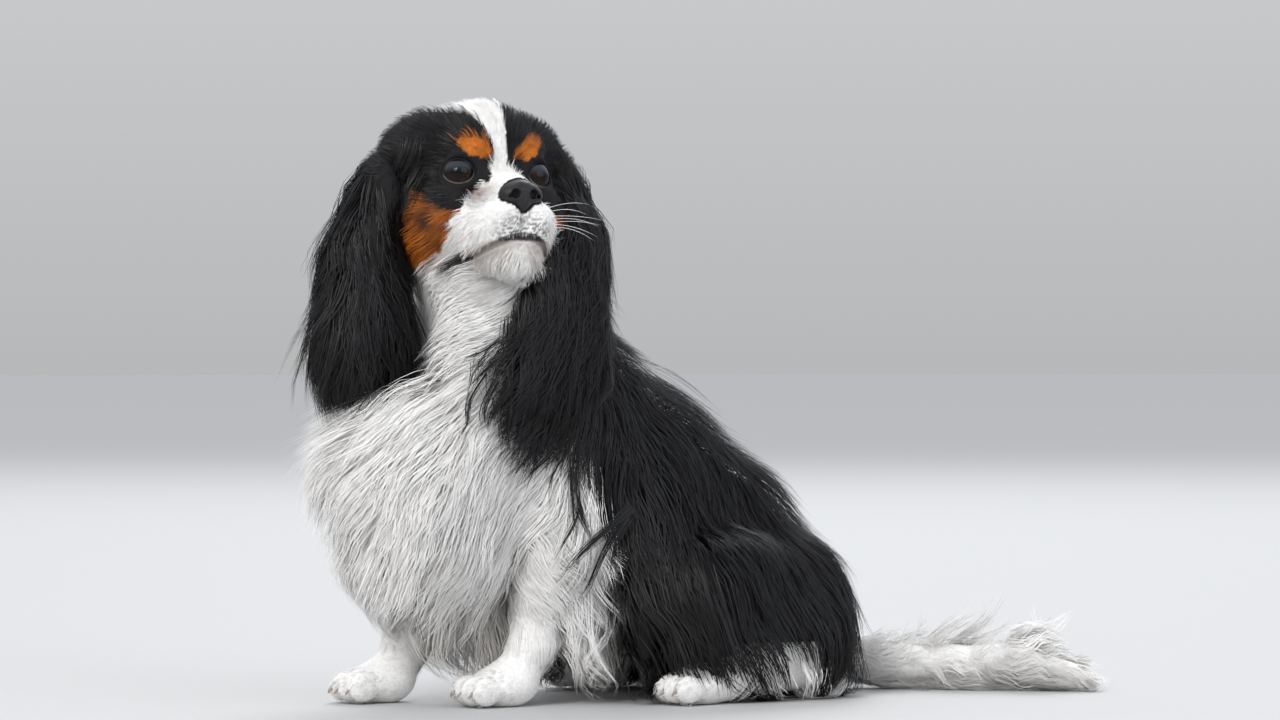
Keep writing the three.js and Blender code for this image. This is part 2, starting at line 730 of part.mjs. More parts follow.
// The locks are joined to their cores, clear of every other core and of the locks joined before them
const ABOVE_FLOOR = block([900, 1100, 200], [0, -50, -99.2]);
const joinedLocks = [];
const laid = [];
for (const one of nodes.filter(({ coat }) => coat)) {
  const paths = locksOf(one, laid);
  let locks = wasm.Manifold.union(paths.map(({ path, wide }) => lockOf(path, wide, 0, false)));
  locks = locks.subtract(ABOVE_FLOOR);
  for (const other of nodes) if (other !== one) locks = locks.subtract(other.clear);
  for (const other of joinedLocks) locks = locks.subtract(other);
  one.solid = largest(one.solid.add(locks));
  const fatter = (flipped) => paths.map(({ path, wide }) => lockOf(path, wide, GAP, flipped));
  joinedLocks.push(wasm.Manifold.union([...fatter(false), ...fatter(true)]));
  laid.push(...paths.flatMap(({ path }) => path.slice(1)));
}

const group = new THREE.Group();
for (const { name, colour, solid } of nodes) {
  const mesh = solid.getMesh();
  const geometry = new THREE.BufferGeometry();
  geometry.setAttribute("position", new THREE.BufferAttribute(new Float32Array(mesh.vertProperties), 3));
  geometry.setIndex(new THREE.BufferAttribute(new Uint32Array(mesh.triVerts), 1));
  geometry.computeVertexNormals();
  const material = new THREE.MeshStandardMaterial({ color: colour, roughness: 0.8, metalness: 0 });
  const piece = new THREE.Mesh(geometry, material);
  piece.name = name;
  group.add(piece);
}

export default group;
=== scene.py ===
# A cavalier king charles spaniel that sits with its head turned: skin, coat, eyes, nose, claws and whiskers.
# Lengths are millimetres here, and each mesh is made in metres. +Z is up, -Y is the way the body faces.
import math

import bpy
import numpy as np
from mathutils import Matrix


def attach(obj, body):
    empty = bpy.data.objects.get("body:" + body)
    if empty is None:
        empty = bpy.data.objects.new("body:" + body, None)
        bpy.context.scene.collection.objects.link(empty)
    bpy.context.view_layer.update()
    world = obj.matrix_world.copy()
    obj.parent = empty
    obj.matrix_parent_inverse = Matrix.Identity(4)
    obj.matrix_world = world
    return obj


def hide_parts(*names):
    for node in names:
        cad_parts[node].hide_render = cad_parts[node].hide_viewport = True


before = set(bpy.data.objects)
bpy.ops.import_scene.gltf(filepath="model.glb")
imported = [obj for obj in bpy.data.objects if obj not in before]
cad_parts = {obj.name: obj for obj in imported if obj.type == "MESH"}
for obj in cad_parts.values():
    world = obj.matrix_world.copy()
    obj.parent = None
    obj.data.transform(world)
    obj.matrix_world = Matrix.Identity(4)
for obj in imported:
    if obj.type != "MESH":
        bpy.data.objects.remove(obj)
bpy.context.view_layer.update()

METRE = 0.001
FLOOR_GAP = 0.4
SLOPE_STEP = 0.4
rng = np.random.default_rng(1868)
SIDES = dict(left=1, right=-1)

# Named sizes, as in the solids, but for the opening of the eyes, which is wider and higher here
HEAD_AT = np.array([0.0, -246.0, 354.0])
HEAD_TURN, HEAD_LIFT, HEAD_TILT = 88.6, 10.6, 1.6
EYE = dict(side=27, ahead=30.5, height=-5.5, radius=12, outward=24, wide=12.6, high=8.9, lid=1.8)
PAW = dict(long=30, wide=21, high=15, toe=9.5, ahead=19, arch=4)
TOES = (-1.5, -0.5, 0.5, 1.5)


# Distance fields, negative inside
def bone(a, b):
    start = np.array(a[:3], float)
    along = np.array(b[:3], float) - start
    size = along @ along
    low, grow = a[3], b[3] - a[3]

    def field(p):
        off = p - start
        t = np.clip(off @ along / size, 0, 1)
        return np.sqrt(((off - t[:, None] * along) ** 2).sum(1)) - (low + grow * t)

    return field


def oval(centre, sizes):
    middle, r = np.array(centre, float), np.array(sizes, float)

    def field(p):
        q = (p - middle) / r
        near = np.sqrt((q * q).sum(1))
        slope = np.sqrt(((q / r) ** 2).sum(1))
        return near * (near - 1) / np.maximum(slope, 1e-6)

    return field


def blend(soft, *fields):
    def field(p):
        low = fields[0](p)
        for other in fields[1:]:
            d = other(p)
            h = np.maximum(soft - np.abs(low - d), 0) / soft
            low = np.minimum(low, d) - h * h * soft / 4
        return low

    return field


def chain(soft, *ends):
    return blend(soft, *[bone(a, b) for a, b in zip(ends, ends[1:])])


def grown(field, depth):
    return lambda p: field(p) - depth


def vectors(x, y, z):
    """Rows of three numbers, from columns or single numbers."""
    return np.stack(np.broadcast_arrays(x, y, z), -1)


def folded(p):
    """The same places on the left side, where x is positive."""
    return vectors(np.abs(p[:, 0]), p[:, 1], p[:, 2])


def both_sides(field):
    return lambda p: field(folded(p))


def slope_of(field, p):
    """The way out of a field, from its change over a small step each way."""
    g = np.empty_like(p)
    for axis in range(3):
        step = np.zeros(3)
        step[axis] = SLOPE_STEP
        g[:, axis] = field(p + step) - field(p - step)
    return unit(g)


def unit(v):
    return v / np.maximum(np.sqrt((v * v).sum(-1, keepdims=True)), 1e-9)


def mix(a, b, t):
    return a + (b - a) * t


def smooth(low, high, x):
    t = np.clip((x - low) / (high - low), 0, 1)
    return t * t * (3 - 2 * t)


def wobble(p, size, seed):
    """A slow, smooth wobble of about -1 to 1 over space, the sum of five waves."""
    draw = np.random.default_rng(seed)
    total = np.zeros(len(p))
    for _ in range(5):
        way = draw.normal(size=3)
        way *= draw.uniform(0.6, 1.5) / np.linalg.norm(way)
        total += np.sin(p @ way * 2 * np.pi / size + draw.uniform(0, 6.28))
    return total / 2.6


# The head's own frame
def turned(axis, degrees):
    return np.array(Matrix.Rotation(math.radians(degrees), 3, axis))


HEAD_AXES = turned("Z", HEAD_TURN) @ turned("X", -HEAD_LIFT) @ turned("Y", HEAD_TILT)


def to_head(p):
    return (p - HEAD_AT) @ HEAD_AXES


def from_head(q):
    return q @ HEAD_AXES.T + HEAD_AT


ear_base = both_sides(oval([36, 2, 24], [21, 23, 21]))
skull = blend(14, oval([0, 4, 8], [45, 46, 43]), oval([0, -20, 14], [33, 25, 30]), ear_base)
face = both_sides(blend(
    10,
    oval([20, -33, 12], [13, 9, 10]),
    oval([31, -10, -26], [21, 31, 27]),
    oval([33, 10, -22], [20, 26, 33]),
    bone([0, -34, -15, 18], [0, -60, -23, 12.5]),
    oval([12, -59, -43], [15.5, 17, 15.5]),
    oval([19, -38, -47], [14, 26, 18]),
    bone([0, -22, -58, 17], [0, -56, -66, 13.5]),
    oval([9, -36, -60], [13, 24, 13]),
    bone([0, -4, -40, 34], [0, 10, -48, 34]),
))
EYE_AT = np.array([EYE["side"], -EYE["ahead"], EYE["height"]], float)
lid_size = EYE["radius"] + EYE["lid"]
lids = both_sides(oval(EYE_AT, [lid_size, lid_size, EYE["radius"] + 1]))
head_solid = blend(5, blend(12, skull, face), lids)
nose_leather = blend(
    4,
    oval([0, -68, -25.2], [11.5, 9.5, 9]),
    both_sides(oval([8.5, -69, -27.3], [6.3, 7.5, 6.2])),
    oval([0, -70, -33], [4.5, 6, 5.5]),
)

# The way out of the eye, and its opening: a cone that widens outwards
EYE_AIM = np.array([math.sin(math.radians(EYE["outward"])), -math.cos(math.radians(EYE["outward"])), 0])
EYE_ACROSS = np.cross(EYE_AIM, [0, 0, 1])


def eye_shape(q):
    """How far out along the eye's axis, and how far from it as a share of the opening."""
    off = folded(q) - EYE_AT
    out, across, tall = off @ EYE_AIM, off @ EYE_ACROSS, off[:, 2]
    lift = 0.9 - 0.05 * across
    grow = 0.78 + (out - 4) / 20 * 1.1
    away = np.sqrt((across / EYE["wide"]) ** 2 + ((tall - lift) / EYE["high"]) ** 2)
    return out, away / np.maximum(grow, 0.2)


def reach(field, origin, ways):
    """The points where rays from one place inside a field leave it."""
    t = np.zeros(len(ways))
    for _ in range(60):
        t += np.maximum(-field(origin + ways * t[:, None]), 0) * 0.7
    return origin + ways * t[:, None]


# The line between the lips, at turns about the middle of the jaw, and the groove from it to the nose
lip_half = np.array([0, 8, 16, 26, 36, 48, 62, 78, 94, 106])
lip_turn = np.radians(np.concatenate([-lip_half[:0:-1], lip_half]))
LIP_TURNS, LIP_HEIGHTS = [0, 12, 24, 43, 62, 84, 106], [-54.6, -55.6, -58.4, -61.6, -63.4, -64.2, -63]
lip_high = np.interp(np.abs(np.degrees(lip_turn)), LIP_TURNS, LIP_HEIGHTS)
lip_from = vectors(0, -34, lip_high)
lip_way = unit(vectors(np.sin(lip_turn), -np.cos(lip_turn), 0))
LIP = np.vstack([reach(head_solid, o, w[None]) for o, w in zip(lip_from, lip_way)])
AHEAD = np.array([[0, -1.0, 0]])
PHILTRUM = np.vstack([reach(head_solid, np.array([0, -40, -39 - n * 5.0]), AHEAD) for n in range(4)])


def near_line(points):
    parts = [bone([*a, 0], [*b, 0]) for a, b in zip(points, points[1:])]
    return lambda p: np.min([part(p) for part in parts], axis=0)


lip_line, philtrum_line = near_line(LIP), near_line(PHILTRUM)
# Depth of the short fur on the head and on the paws
FUR = 1.7
PAW_FUR = 1.2


def head_skin(q):
    out, share = eye_shape(q)
    lip, groove = lip_line(q), philtrum_line(q)
    bare = np.minimum.reduce([lip, nose_leather(q) + 2, np.abs(share - 1) * 9 + np.maximum(2 - out, 0) * 4])
    d = head_solid(q) + FUR * smooth(1, 9, bare)
    d = cut(d, 2.0 - lip, 1.2)
    d = cut(d, 1.1 - groove, 1.0)
    opening = np.minimum((1 - share) * 8, out - 4)
    return cut(d, opening, 1.2)


def cut(d, tool, soft):
    """d with what lies inside the tool taken away, where tool is above 0 inside it."""
    h = np.maximum(soft - np.abs(d - tool), 0) / soft
    return np.maximum(d, tool) + h * h * soft / 4


# Body: skin, and the form that the tips reach
neck_skin = chain(20, [0, -214, 208, 50], [0, -238, 305, 38], [0, -232, 330, 36])
neck_tips = chain(20, [0, -212, 215, 62], [0, -238, 305, 53], [0, -234, 330, 47])
torso_skin = blend(
    24,
    chain(10, [0, -6, 36, 40], [0, -20, 58, 43], [0, -70, 106, 47], [0, -134, 146, 54], [0, -235, 168, 58]),
    bone([0, -156, 192, 34], [0, -195, 206, 44]),
    bone([0, -56, 76, 40], [0, -150, 122, 48]),
)
torso_tips = blend(
    16,
    chain(6, [0, -2, 38, 46], [0, -18, 62, 50], [0, -66, 110, 61], [0, -134, 150, 70], [0, -230, 176, 72]),
    bone([0, -130, 196, 40], [0, -185, 215, 56]),
)
chest_skin = blend(
    24,
    chain(10, [0, -150, 150, 54], [0, -235, 168, 58], [0, -270, 166, 49]),
    bone([0, -195, 206, 44], [0, -225, 215, 46]),
    bone([36, -200, 190, 24], [40, -214, 146, 28]),
    bone([-36, -218, 190, 24], [-38, -234, 146, 28]),
)
chest_tips = blend(
    16,
    chain(6, [0, -134, 150, 70], [0, -225, 190, 72], [0, -250, 200, 70], [0, -286, 150, 74]),
    chain(10, [0, -286, 150, 74], [0, -284, 112, 66], [0, -276, 62, 36], [0, -256, 36, 13]),
    oval([-8, -312, 152], [50, 52, 44]),
)
flank_skin = both_sides(chain(10, [46, -140, 116, 22], [62, -150, 60, 10], [68, -152, 34, 5]))
flank_tips = both_sides(chain(10, [46, -150, 112, 36], [64, -158, 60, 26], [70, -156, 20, 19]))
HIP, KNEE, HOCK, HEEL = [42, -30, 70], [66, -110, 72], [74, -22, 30], [74, -18, 16]
INSTEP, HINDPAW = [80, -92, 16], [82, -122, 13]
thigh_skin = both_sides(blend(
    20,
    bone([*HIP, 38], [*KNEE, 31]),
    bone([*KNEE, 27], [*HOCK, 19]),
    oval([60, -50, 44], [30, 50, 38]),
))
thigh_tips = both_sides(blend(
    16,
    bone([*HIP, 44], [68, -112, 76, 42]),
    chain(10, [50, -8, 46, 32], [70, -34, 40, 34], [74, -110, 46, 35]),
    chain(10, [60, 4, 16, 22], [82, -60, 22, 24], [82, -122, 30, 24]),
))
hock_skin = both_sides(blend(8, bone([*HOCK, 15], [*INSTEP, 13]), bone([*HEEL, 15], [*HOCK, 13])))
LEGS = dict(
    left=dict(side=1, elbow=[47, -211, 116], wrist=[39, -223, 42], forepaw=[36, -250, 13]),
    right=dict(side=-1, elbow=[-45, -246, 114], wrist=[-36, -280, 41], forepaw=[-34, -308, 13]),
)


def foreleg_skin(leg):
    x, y, _ = leg["forepaw"]
    return chain(10, [*leg["elbow"], 23], [*leg["wrist"], 14], [x, y + 16, 20, 14])


def foreleg_tips(leg):
    ex, ey, ez = leg["elbow"]
    feather = chain(
        10,
        [ex, ey + 8, ez - 8, 27],
        [ex, ey + 14, ez - 54, 20],
        [ex + 5 * leg["side"], ey + 26, 14, 12],
    )
    return blend(10, foreleg_skin(leg), feather)


def toe_at(at, n):
    """Middle of a toe from above, where n counts from the middle of the paw."""
    return at[0] + n * PAW["toe"], at[1] - PAW["ahead"] + abs(n) * PAW["arch"]


def paw(at):
    x, y, z = at
    toe_size = [PAW["toe"] * 0.68, PAW["toe"] * 1.25, PAW["toe"] * 1.12]
    toes = [oval([*toe_at(at, n), z - 2], toe_size) for n in TOES]
    shape = blend(3, oval([x, y + 4, z], [PAW["wide"] * 0.92, PAW["long"] * 0.78, PAW["high"]]), *toes)
    return grown(shape, -PAW_FUR)


tail_skin = chain(6, [6, 40, 20, 13], [26, 76, 18, 12], [46, 104, 18, 12], [72, 136, 20, 12], [98, 168, 12, 8])
tail_tips = chain(
    10, [6, 46, 20, 18], [28, 74, 20, 23], [50, 102, 24, 30], [80, 138, 30, 30], [108, 176, 14, 15])
ear_skin = dict(
    right=blend(
        10,
        oval([-11, -297, 371], [19, 13, 15]),
        oval([-12, -314, 341], [25, 12, 28]),
        oval([-12, -325, 300], [29, 14, 36]),
        oval([-12, -329, 264], [29, 18, 28]),
    ),
    left=blend(
        10,
        oval([-7, -196, 370], [18, 13, 15]),
        oval([2, -184, 342], [21, 12, 30]),
        oval([26, -188, 308], [16, 18, 30]),
        oval([43, -200, 284], [14, 23, 30]),
        oval([58, -214, 260], [12, 28, 34]),
    ),
)
ear_tips = dict(
    right=blend(
        10,
        oval([-11, -298, 373], [23, 20, 22]),
        oval([-13, -318, 342], [24, 25, 38]),
        oval([-12, -325, 292], [26, 38, 46]),
        oval([-9, -325, 236], [35, 44, 58]),
    ),
    left=blend(
        10,
        oval([-6, -194, 371], [22, 19, 20]),
        oval([4, -178, 345], [21, 24, 32]),
        oval([26, -187, 309], [24, 27, 34]),
        oval([43, -200, 284], [24, 33, 36]),
        oval([58, -216, 258], [23, 40, 44]),
        oval([71, -232, 220], [19, 44, 36]),
    ),
)

PAWS = dict(
    forepaw_left=LEGS["left"]["forepaw"], forepaw_right=LEGS["right"]["forepaw"],
    hindpaw_left=HINDPAW, hindpaw_right=[-HINDPAW[0], HINDPAW[1], HINDPAW[2]])
# Regions of the skin: name, field, box of it (low, high)
REGIONS = {
    "head": (lambda p: head_skin(to_head(p)), [-60, -310, 260], [100, -180, 415]),
    "neck": (neck_skin, [-60, -290, 150], [60, -155, 375]),
    "torso": (torso_skin, [-75, -300, -10], [75, 45, 265]),
    "chest": (chest_skin, [-75, -330, 80], [75, -90, 270]),
    "flank": (flank_skin, [-85, -185, 20], [85, -105, 150]),
    "thigh": (thigh_skin, [-105, -150, -10], [105, 20, 120]),
    "hock": (hock_skin, [-105, -120, -5], [105, 10, 55]),
    "foreleg_left": (foreleg_skin(LEGS["left"]), [10, -275, -5], [80, -175, 150]),
    "foreleg_right": (foreleg_skin(LEGS["right"]), [-80, -325, -5], [-10, -210, 150]),
    "forepaw_left": (paw(PAWS["forepaw_left"]), [5, -295, -5], [70, -215, 40]),
    "forepaw_right": (paw(PAWS["forepaw_right"]), [-70, -350, -5], [0, -270, 40]),
    "hindpaw_left": (paw(PAWS["hindpaw_left"]), [50, -165, -5], [115, -90, 40]),
    "hindpaw_right": (paw(PAWS["hindpaw_right"]), [-115, -165, -5], [-50, -90, 40]),
    "tail": (tail_skin, [-15, 20, -5], [120, 190, 45]),
    "ear_left": (ear_skin["left"], [-35, -260, 215], [85, -155, 400]),
    "ear_right": (ear_skin["right"], [-55, -360, 225], [30, -275, 400]),
}
REGION_NAMES = list(REGIONS)
MARGIN = 26
JOIN = 14


def beside(p, low, high):
    """Which points are in a region's box or near it."""
    return np.all((p > np.array(low) - MARGIN) & (p < np.array(high) + MARGIN), axis=1)


def skin_field(p):
    """The whole skin: the regions, smoothly joined, and flat where it rests on the floor."""
    low = np.full(len(p), 1e3)
    for field, lo, hi in REGIONS.values():
        near = beside(p, lo, hi)
        if not near.any():
            continue
        d = field(p[near])
        old = low[near]
        h = np.maximum(JOIN - np.abs(old - d), 0) / JOIN
        low[near] = np.minimum(old, d) - h * h * JOIN / 4
    return np.maximum(low, FLOOR_GAP - p[:, 2])


# A closed mesh round a field
def netted(field, axes):
    """Vertices and quads of the surface of a field over a grid of three rising lists of coordinates.

    Blocks of cells far from the surface are left out, by the field at their middles.
    """
    block, batch = 4, 200000
    axes = [np.asarray(a, float) for a in axes]
    axes = [a[: (len(a) - 1) // block * block + 1] for a in axes]
    sizes = [len(a) for a in axes]
    blocks = [(n - 1) // block for n in sizes]
    middles = [(a[:-1:block] + a[block::block]) / 2 for a in axes]
    halves = [(a[block::block] - a[:-1:block]) / 2 for a in axes]
    centre = np.stack(np.meshgrid(*middles, indexing="ij"), -1).reshape(-1, 3)
    half = np.stack(np.meshgrid(*halves, indexing="ij"), -1).reshape(-1, 3)
    coarse = field(centre)
    active = np.abs(coarse) < 1.5 * np.linalg.norm(half, axis=1) + 2
    values = np.repeat(np.repeat(np.repeat(coarse.reshape(blocks), block, 0), block, 1), block, 2)
    values = np.pad(values, [(0, 1)] * 3, mode="edge").astype(np.float32)
    wanted = np.zeros(sizes, bool)
    starts = np.argwhere(active.reshape(blocks)) * block
    span = np.arange(block + 1)
    i = (starts[:, 0, None, None, None] + span[:, None, None])
    j = (starts[:, 1, None, None, None] + span[None, :, None])
    k = (starts[:, 2, None, None, None] + span[None, None, :])
    wanted[i, j, k] = True
    index = np.argwhere(wanted)
    points = np.column_stack([axes[n][index[:, n]] for n in range(3)])
    found = np.empty(len(points), np.float32)
    for s in range(0, len(points), batch):
        found[s : s + batch] = field(points[s : s + batch])
    values[wanted] = found
    inside = values < 0
    # cells with a change of sign get one vertex, the mean of their edge crossings
    cell_any = np.zeros([n - 1 for n in sizes], bool)
    cell_all = np.ones([n - 1 for n in sizes], bool)
    corners = [(a, b, c) for a in (0, 1) for b in (0, 1) for c in (0, 1)]
    for a, b, c in corners:
        part = inside[a : sizes[0] - 1 + a, b : sizes[1] - 1 + b, c : sizes[2] - 1 + c]
        cell_any |= part
        cell_all &= part
    cells = np.argwhere(cell_any & ~cell_all)
    number = np.full(cell_any.shape, -1, np.int64)
    number[cells[:, 0], cells[:, 1], cells[:, 2]] = np.arange(len(cells))
    total, count = np.zeros((len(cells), 3)), np.zeros(len(cells))
    for a in corners:
        for axis in range(3):
            if a[axis]:
                continue
            b = list(a)
            b[axis] = 1
            ia, ib = cells + np.array(a), cells + np.array(b)
            va, vb = values[tuple(ia.T)], values[tuple(ib.T)]
            cross = (va < 0) != (vb < 0)
            t = np.where(cross, va / np.where(va == vb, 1, va - vb), 0)
            pa = np.column_stack([axes[n][ia[:, n]] for n in range(3)])
            pb = np.column_stack([axes[n][ib[:, n]] for n in range(3)])
            total += np.where(cross[:, None], pa + (pb - pa) * t[:, None], 0)
            count += cross
    vertices = total / count[:, None]
    quads = []
    for axis in range(3):
        o1, o2 = [n for n in range(3) if n != axis]
        lower = [slice(None)] * 3
        upper = [slice(None)] * 3
        lower[axis], upper[axis] = slice(0, -1), slice(1, None)
        change = np.argwhere(inside[tuple(lower)] != inside[tuple(upper)])
        keep = np.all([(change[:, n] > 0) & (change[:, n] < sizes[n] - 1) for n in (o1, o2)], axis=0)
        change = change[keep]
        goes_out = inside[tuple(lower)][tuple(change.T)]
        ring = []
        for d1, d2 in ((0, 0), (-1, 0), (-1, -1), (0, -1)):
            c = change.copy()
            c[:, o1] += d1
            c[:, o2] += d2
            ring.append(number[tuple(c.T)])
        ring = np.column_stack(ring)
        flip = goes_out if axis != 1 else ~goes_out
        ring[~flip] = ring[~flip][:, ::-1]
        quads.append(ring)
    return vertices, np.vstack(quads)


def settle(vertices, field, most):
    """Moves vertices onto the field's surface, in three rounds."""
    for _ in range(3):
        d = field(vertices)
        vertices = vertices - slope_of(field, vertices) * np.clip(d, -most, most)[:, None]
    return vertices


def spaced(low, high, fine_low, fine_high, fine, rough):
    """Coordinates from low to high, closer together between fine_low and fine_high."""
    parts = []
    if fine_low > low:
        parts.append(np.linspace(low, fine_low, max(int((fine_low - low) / rough), 1), endpoint=False))
    parts.append(np.linspace(fine_low, fine_high, int((fine_high - fine_low) / fine), endpoint=False))
    parts.append(np.linspace(fine_high, high, max(int((high - fine_high) / rough), 1) + 4))
    return np.concatenate(parts)


# Blender helpers
def mesh_of(name, vertices, faces):
    faces = np.asarray(faces)
    mesh = bpy.data.meshes.new(name)
    n, k = faces.shape
    mesh.vertices.add(len(vertices))
    mesh.vertices.foreach_set("co", (np.asarray(vertices) * METRE).astype(np.float32).ravel())
    mesh.loops.add(n * k)
    mesh.loops.foreach_set("vertex_index", faces.astype(np.int32).ravel())
    mesh.polygons.add(n)
    mesh.polygons.foreach_set("loop_start", np.arange(0, n * k, k, dtype=np.int32))
    mesh.polygons.foreach_set("use_smooth", np.ones(n, bool))
    mesh.update(calc_edges=True)
    return mesh


def placed(name, data):
    thing = bpy.data.objects.new(name, data)
    bpy.context.scene.collection.objects.link(thing)
    return thing


def piece_of(name, mesh, material):
    piece = placed(name, mesh)
    mesh.materials.append(material)
    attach(piece, "root")
    return piece


def paint(mesh, name, colours):
    layer = mesh.color_attributes.new(name, "FLOAT_COLOR", "POINT")
    rgba = np.ones((len(colours), 4), np.float32)
    rgba[:, :3] = colours
    layer.data.foreach_set("color", rgba.ravel())


# Markings
WHITE = np.array([0.92, 0.905, 0.885])
BLACK = np.array([0.0065, 0.0063, 0.0072])
TAN = np.array([0.6, 0.165, 0.013])
DEEP_TAN = np.array([0.25, 0.065, 0.012])
LIP_DARK = np.array([0.022, 0.016, 0.015])
JAW = np.array([0.42, 0.36, 0.32])
# Edges of the white blaze at turns from the nose over the crown, and where the saddle begins at heights
BLAZE_LEFT = [-8, 3, 15, 27, 43, 60, 85, 110, 150], [-9, -5.8, -7, -11.3, -16, -21, -33, -26, -4]
BLAZE_RIGHT = [-8, 3, 15, 27, 43, 60, 85, 110, 160], [3, 2, 2, 2.5, 4.5, 8, 12, 10, 4]
SADDLE = [0, 60, 100, 140, 170, 200, 250, 300, 340], [-172, -174, -177, -184, -196, -208, -228, -241, -243]


def head_marks(q):
    """Colours of the head, from points in its own frame."""
    x = q[:, 0] + 1.1 * wobble(q, 11, 3)
    y = q[:, 1] + 1.3 * wobble(q, 13, 4)
    z = q[:, 2] + 1.1 * wobble(q, 10, 5)
    side = np.abs(x)
    colours = np.tile(BLACK, (len(q), 1))
    # Tan cheeks, darker in their middle
    top = np.interp(-y, [-12, 8, 21, 30, 36, 44], [-8, -12, -17, -27, -31.5, -33])
    cheek = (side > 27) & (z < top) & (y < 10)
    dark = np.exp(-(((y + 20) / 9) ** 2 + ((z + 33) / 8) ** 2))
    streaks = np.clip(0.35 * wobble(q, 3.2, 9), 0, 0.6)[:, None]
    tan = mix(mix(TAN, DEEP_TAN, np.clip(0.5 + 0.5 * wobble(q, 15, 6), 0, 1)[:, None]), BLACK * 3, streaks)
    tan = mix(tan, BLACK * 2, (0.9 * dark)[:, None])
    colours[cheek] = tan[cheek]
    # Tan spots over the eyes
    a, b = side - 18.6, z - 10.6
    tip = math.radians(25)
    u, v = a * math.cos(tip) + b * math.sin(tip), -a * math.sin(tip) + b * math.cos(tip)
    brow = (u / 12.2) ** 2 + (v / 6.0) ** 2
    spot = (brow < 1) & (y < -20)
    colours[spot] = mix(mix(TAN, DEEP_TAN, np.clip(brow * 0.5 - 0.1, 0, 1)[:, None]), BLACK * 3, streaks)[spot]
    # White blaze
    angle = np.degrees(np.arctan2(z, -y))
    blaze = (x > np.interp(angle, *BLAZE_LEFT)) & (x < np.interp(angle, *BLAZE_RIGHT))
    blaze &= (angle > -12) & (angle < 150)
    # White muzzle
    reach_right = np.interp(-z, [4, 13, 18, 27, 34, 39], [8, 14, 19, 27, 32, 38])
    reach_left = np.interp(-z, [4, 8, 18, 27, 34, 39], [3, 17, 22, 28, 33, 39])
    muzzle = (z < -4) & (z > -41) & (x > -reach_right) & (x < reach_left) & (y < -20)
    back = np.interp(-z, [36, 39, 48, 56, 62], [-38, -36, -27, -4, 40])
    muzzle |= (z < -36) & (y < back)
    white = blaze | muzzle
    colours[white] = WHITE
    # Grey hairs on the upper lip, the dark lip line and the paler jaw
    lip = lip_line(q)
    grey = smooth(24, 7, lip) * (q[:, 2] > -58) * smooth(26, 12, np.abs(q[:, 0])) * (q[:, 1] < -50)
    streak = (wobble(q, 2.0, 8) > 0.1) * grey * 0.8
    colours = mix(colours, LIP_DARK, (streak * white)[:, None])
    edge = smooth(3.6 + 2.0 * smooth(-50, -30, q[:, 1]), 1.8, lip)
    colours = mix(colours, LIP_DARK, edge[:, None])
    jaw = (q[:, 2] < -57) & (q[:, 1] < -40) & (lip < 13)
    colours = mix(colours, JAW, (jaw * smooth(13, 5, lip) * 0.6)[:, None])
    colours[nose_leather(q) < 1.2] = BLACK
    spot = np.exp(-(((q[:, 0] + 16) / 3) ** 2 + ((q[:, 2] + 19) / 2.5) ** 2)) * (q[:, 1] < -30)
    return mix(colours, DEEP_TAN, (0.6 * spot)[:, None])


def body_marks(p, region):
    """Colours of the body, from points of the part's frame and the number of their region."""
    x, y, z = p.T
    names = np.array(REGION_NAMES)[region]
    edge = np.interp(z, *SADDLE) + 7 * wobble(p, 55, 11) + 3 * wobble(p, 9, 12)
    edge = edge + np.where(x < 0, x, 0) * smooth(250, 310, z) + 24 * smooth(215, 262, z) * (x > 0)
    black = (y > edge) | np.char.startswith(names, "ear")
    for word in ("foreleg", "forepaw", "hindpaw"):
        black &= ~np.char.startswith(names, word)
    low = (names == "hock") | ((z < 39) & (np.abs(y + 62) < 31) & (np.abs(x) > 45))
    belly = (np.abs(x) < 34) & (z < 86) & (y < -60) & (y > -200)
    black &= ~(low | belly | ((names == "tail") & (y > 22)))
    return np.where(black[:, None], BLACK, WHITE)


def marks(p, region):
    colours = body_marks(p, region)
    on_head = region == REGION_NAMES.index("head")
    if on_head.any():
        colours[on_head] = head_marks(to_head(p[on_head]))
    return colours


def region_of(p):
    distances = np.full((len(REGION_NAMES), len(p)), 1e3)
    for n, (field, lo, hi) in enumerate(REGIONS.values()):
        near = beside(p, lo, hi)
        if near.any():
            distances[n, near] = field(p[near])
    return distances.argmin(0)


# Materials
def material_of(name, rough, **sockets):
    material = bpy.data.materials.new(name)
    material.use_nodes = True
    shader = material.node_tree.nodes["Principled BSDF"]
    shader.inputs["Roughness"].default_value = rough
    for socket, value in sockets.items():
        shader.inputs[socket.replace("_", " ")].default_value = value
    return material, material.node_tree, shader


def add(tree, kind, **values):
    node = tree.nodes.new(kind)
    for key, value in values.items():
        if hasattr(node, key):
            setattr(node, key, value)
        else:
            node.inputs[key.replace("_", " ")].default_value = value
    return node


def link(tree, source, output, target, socket):
    tree.links.new(source.outputs[output], target.inputs[socket])


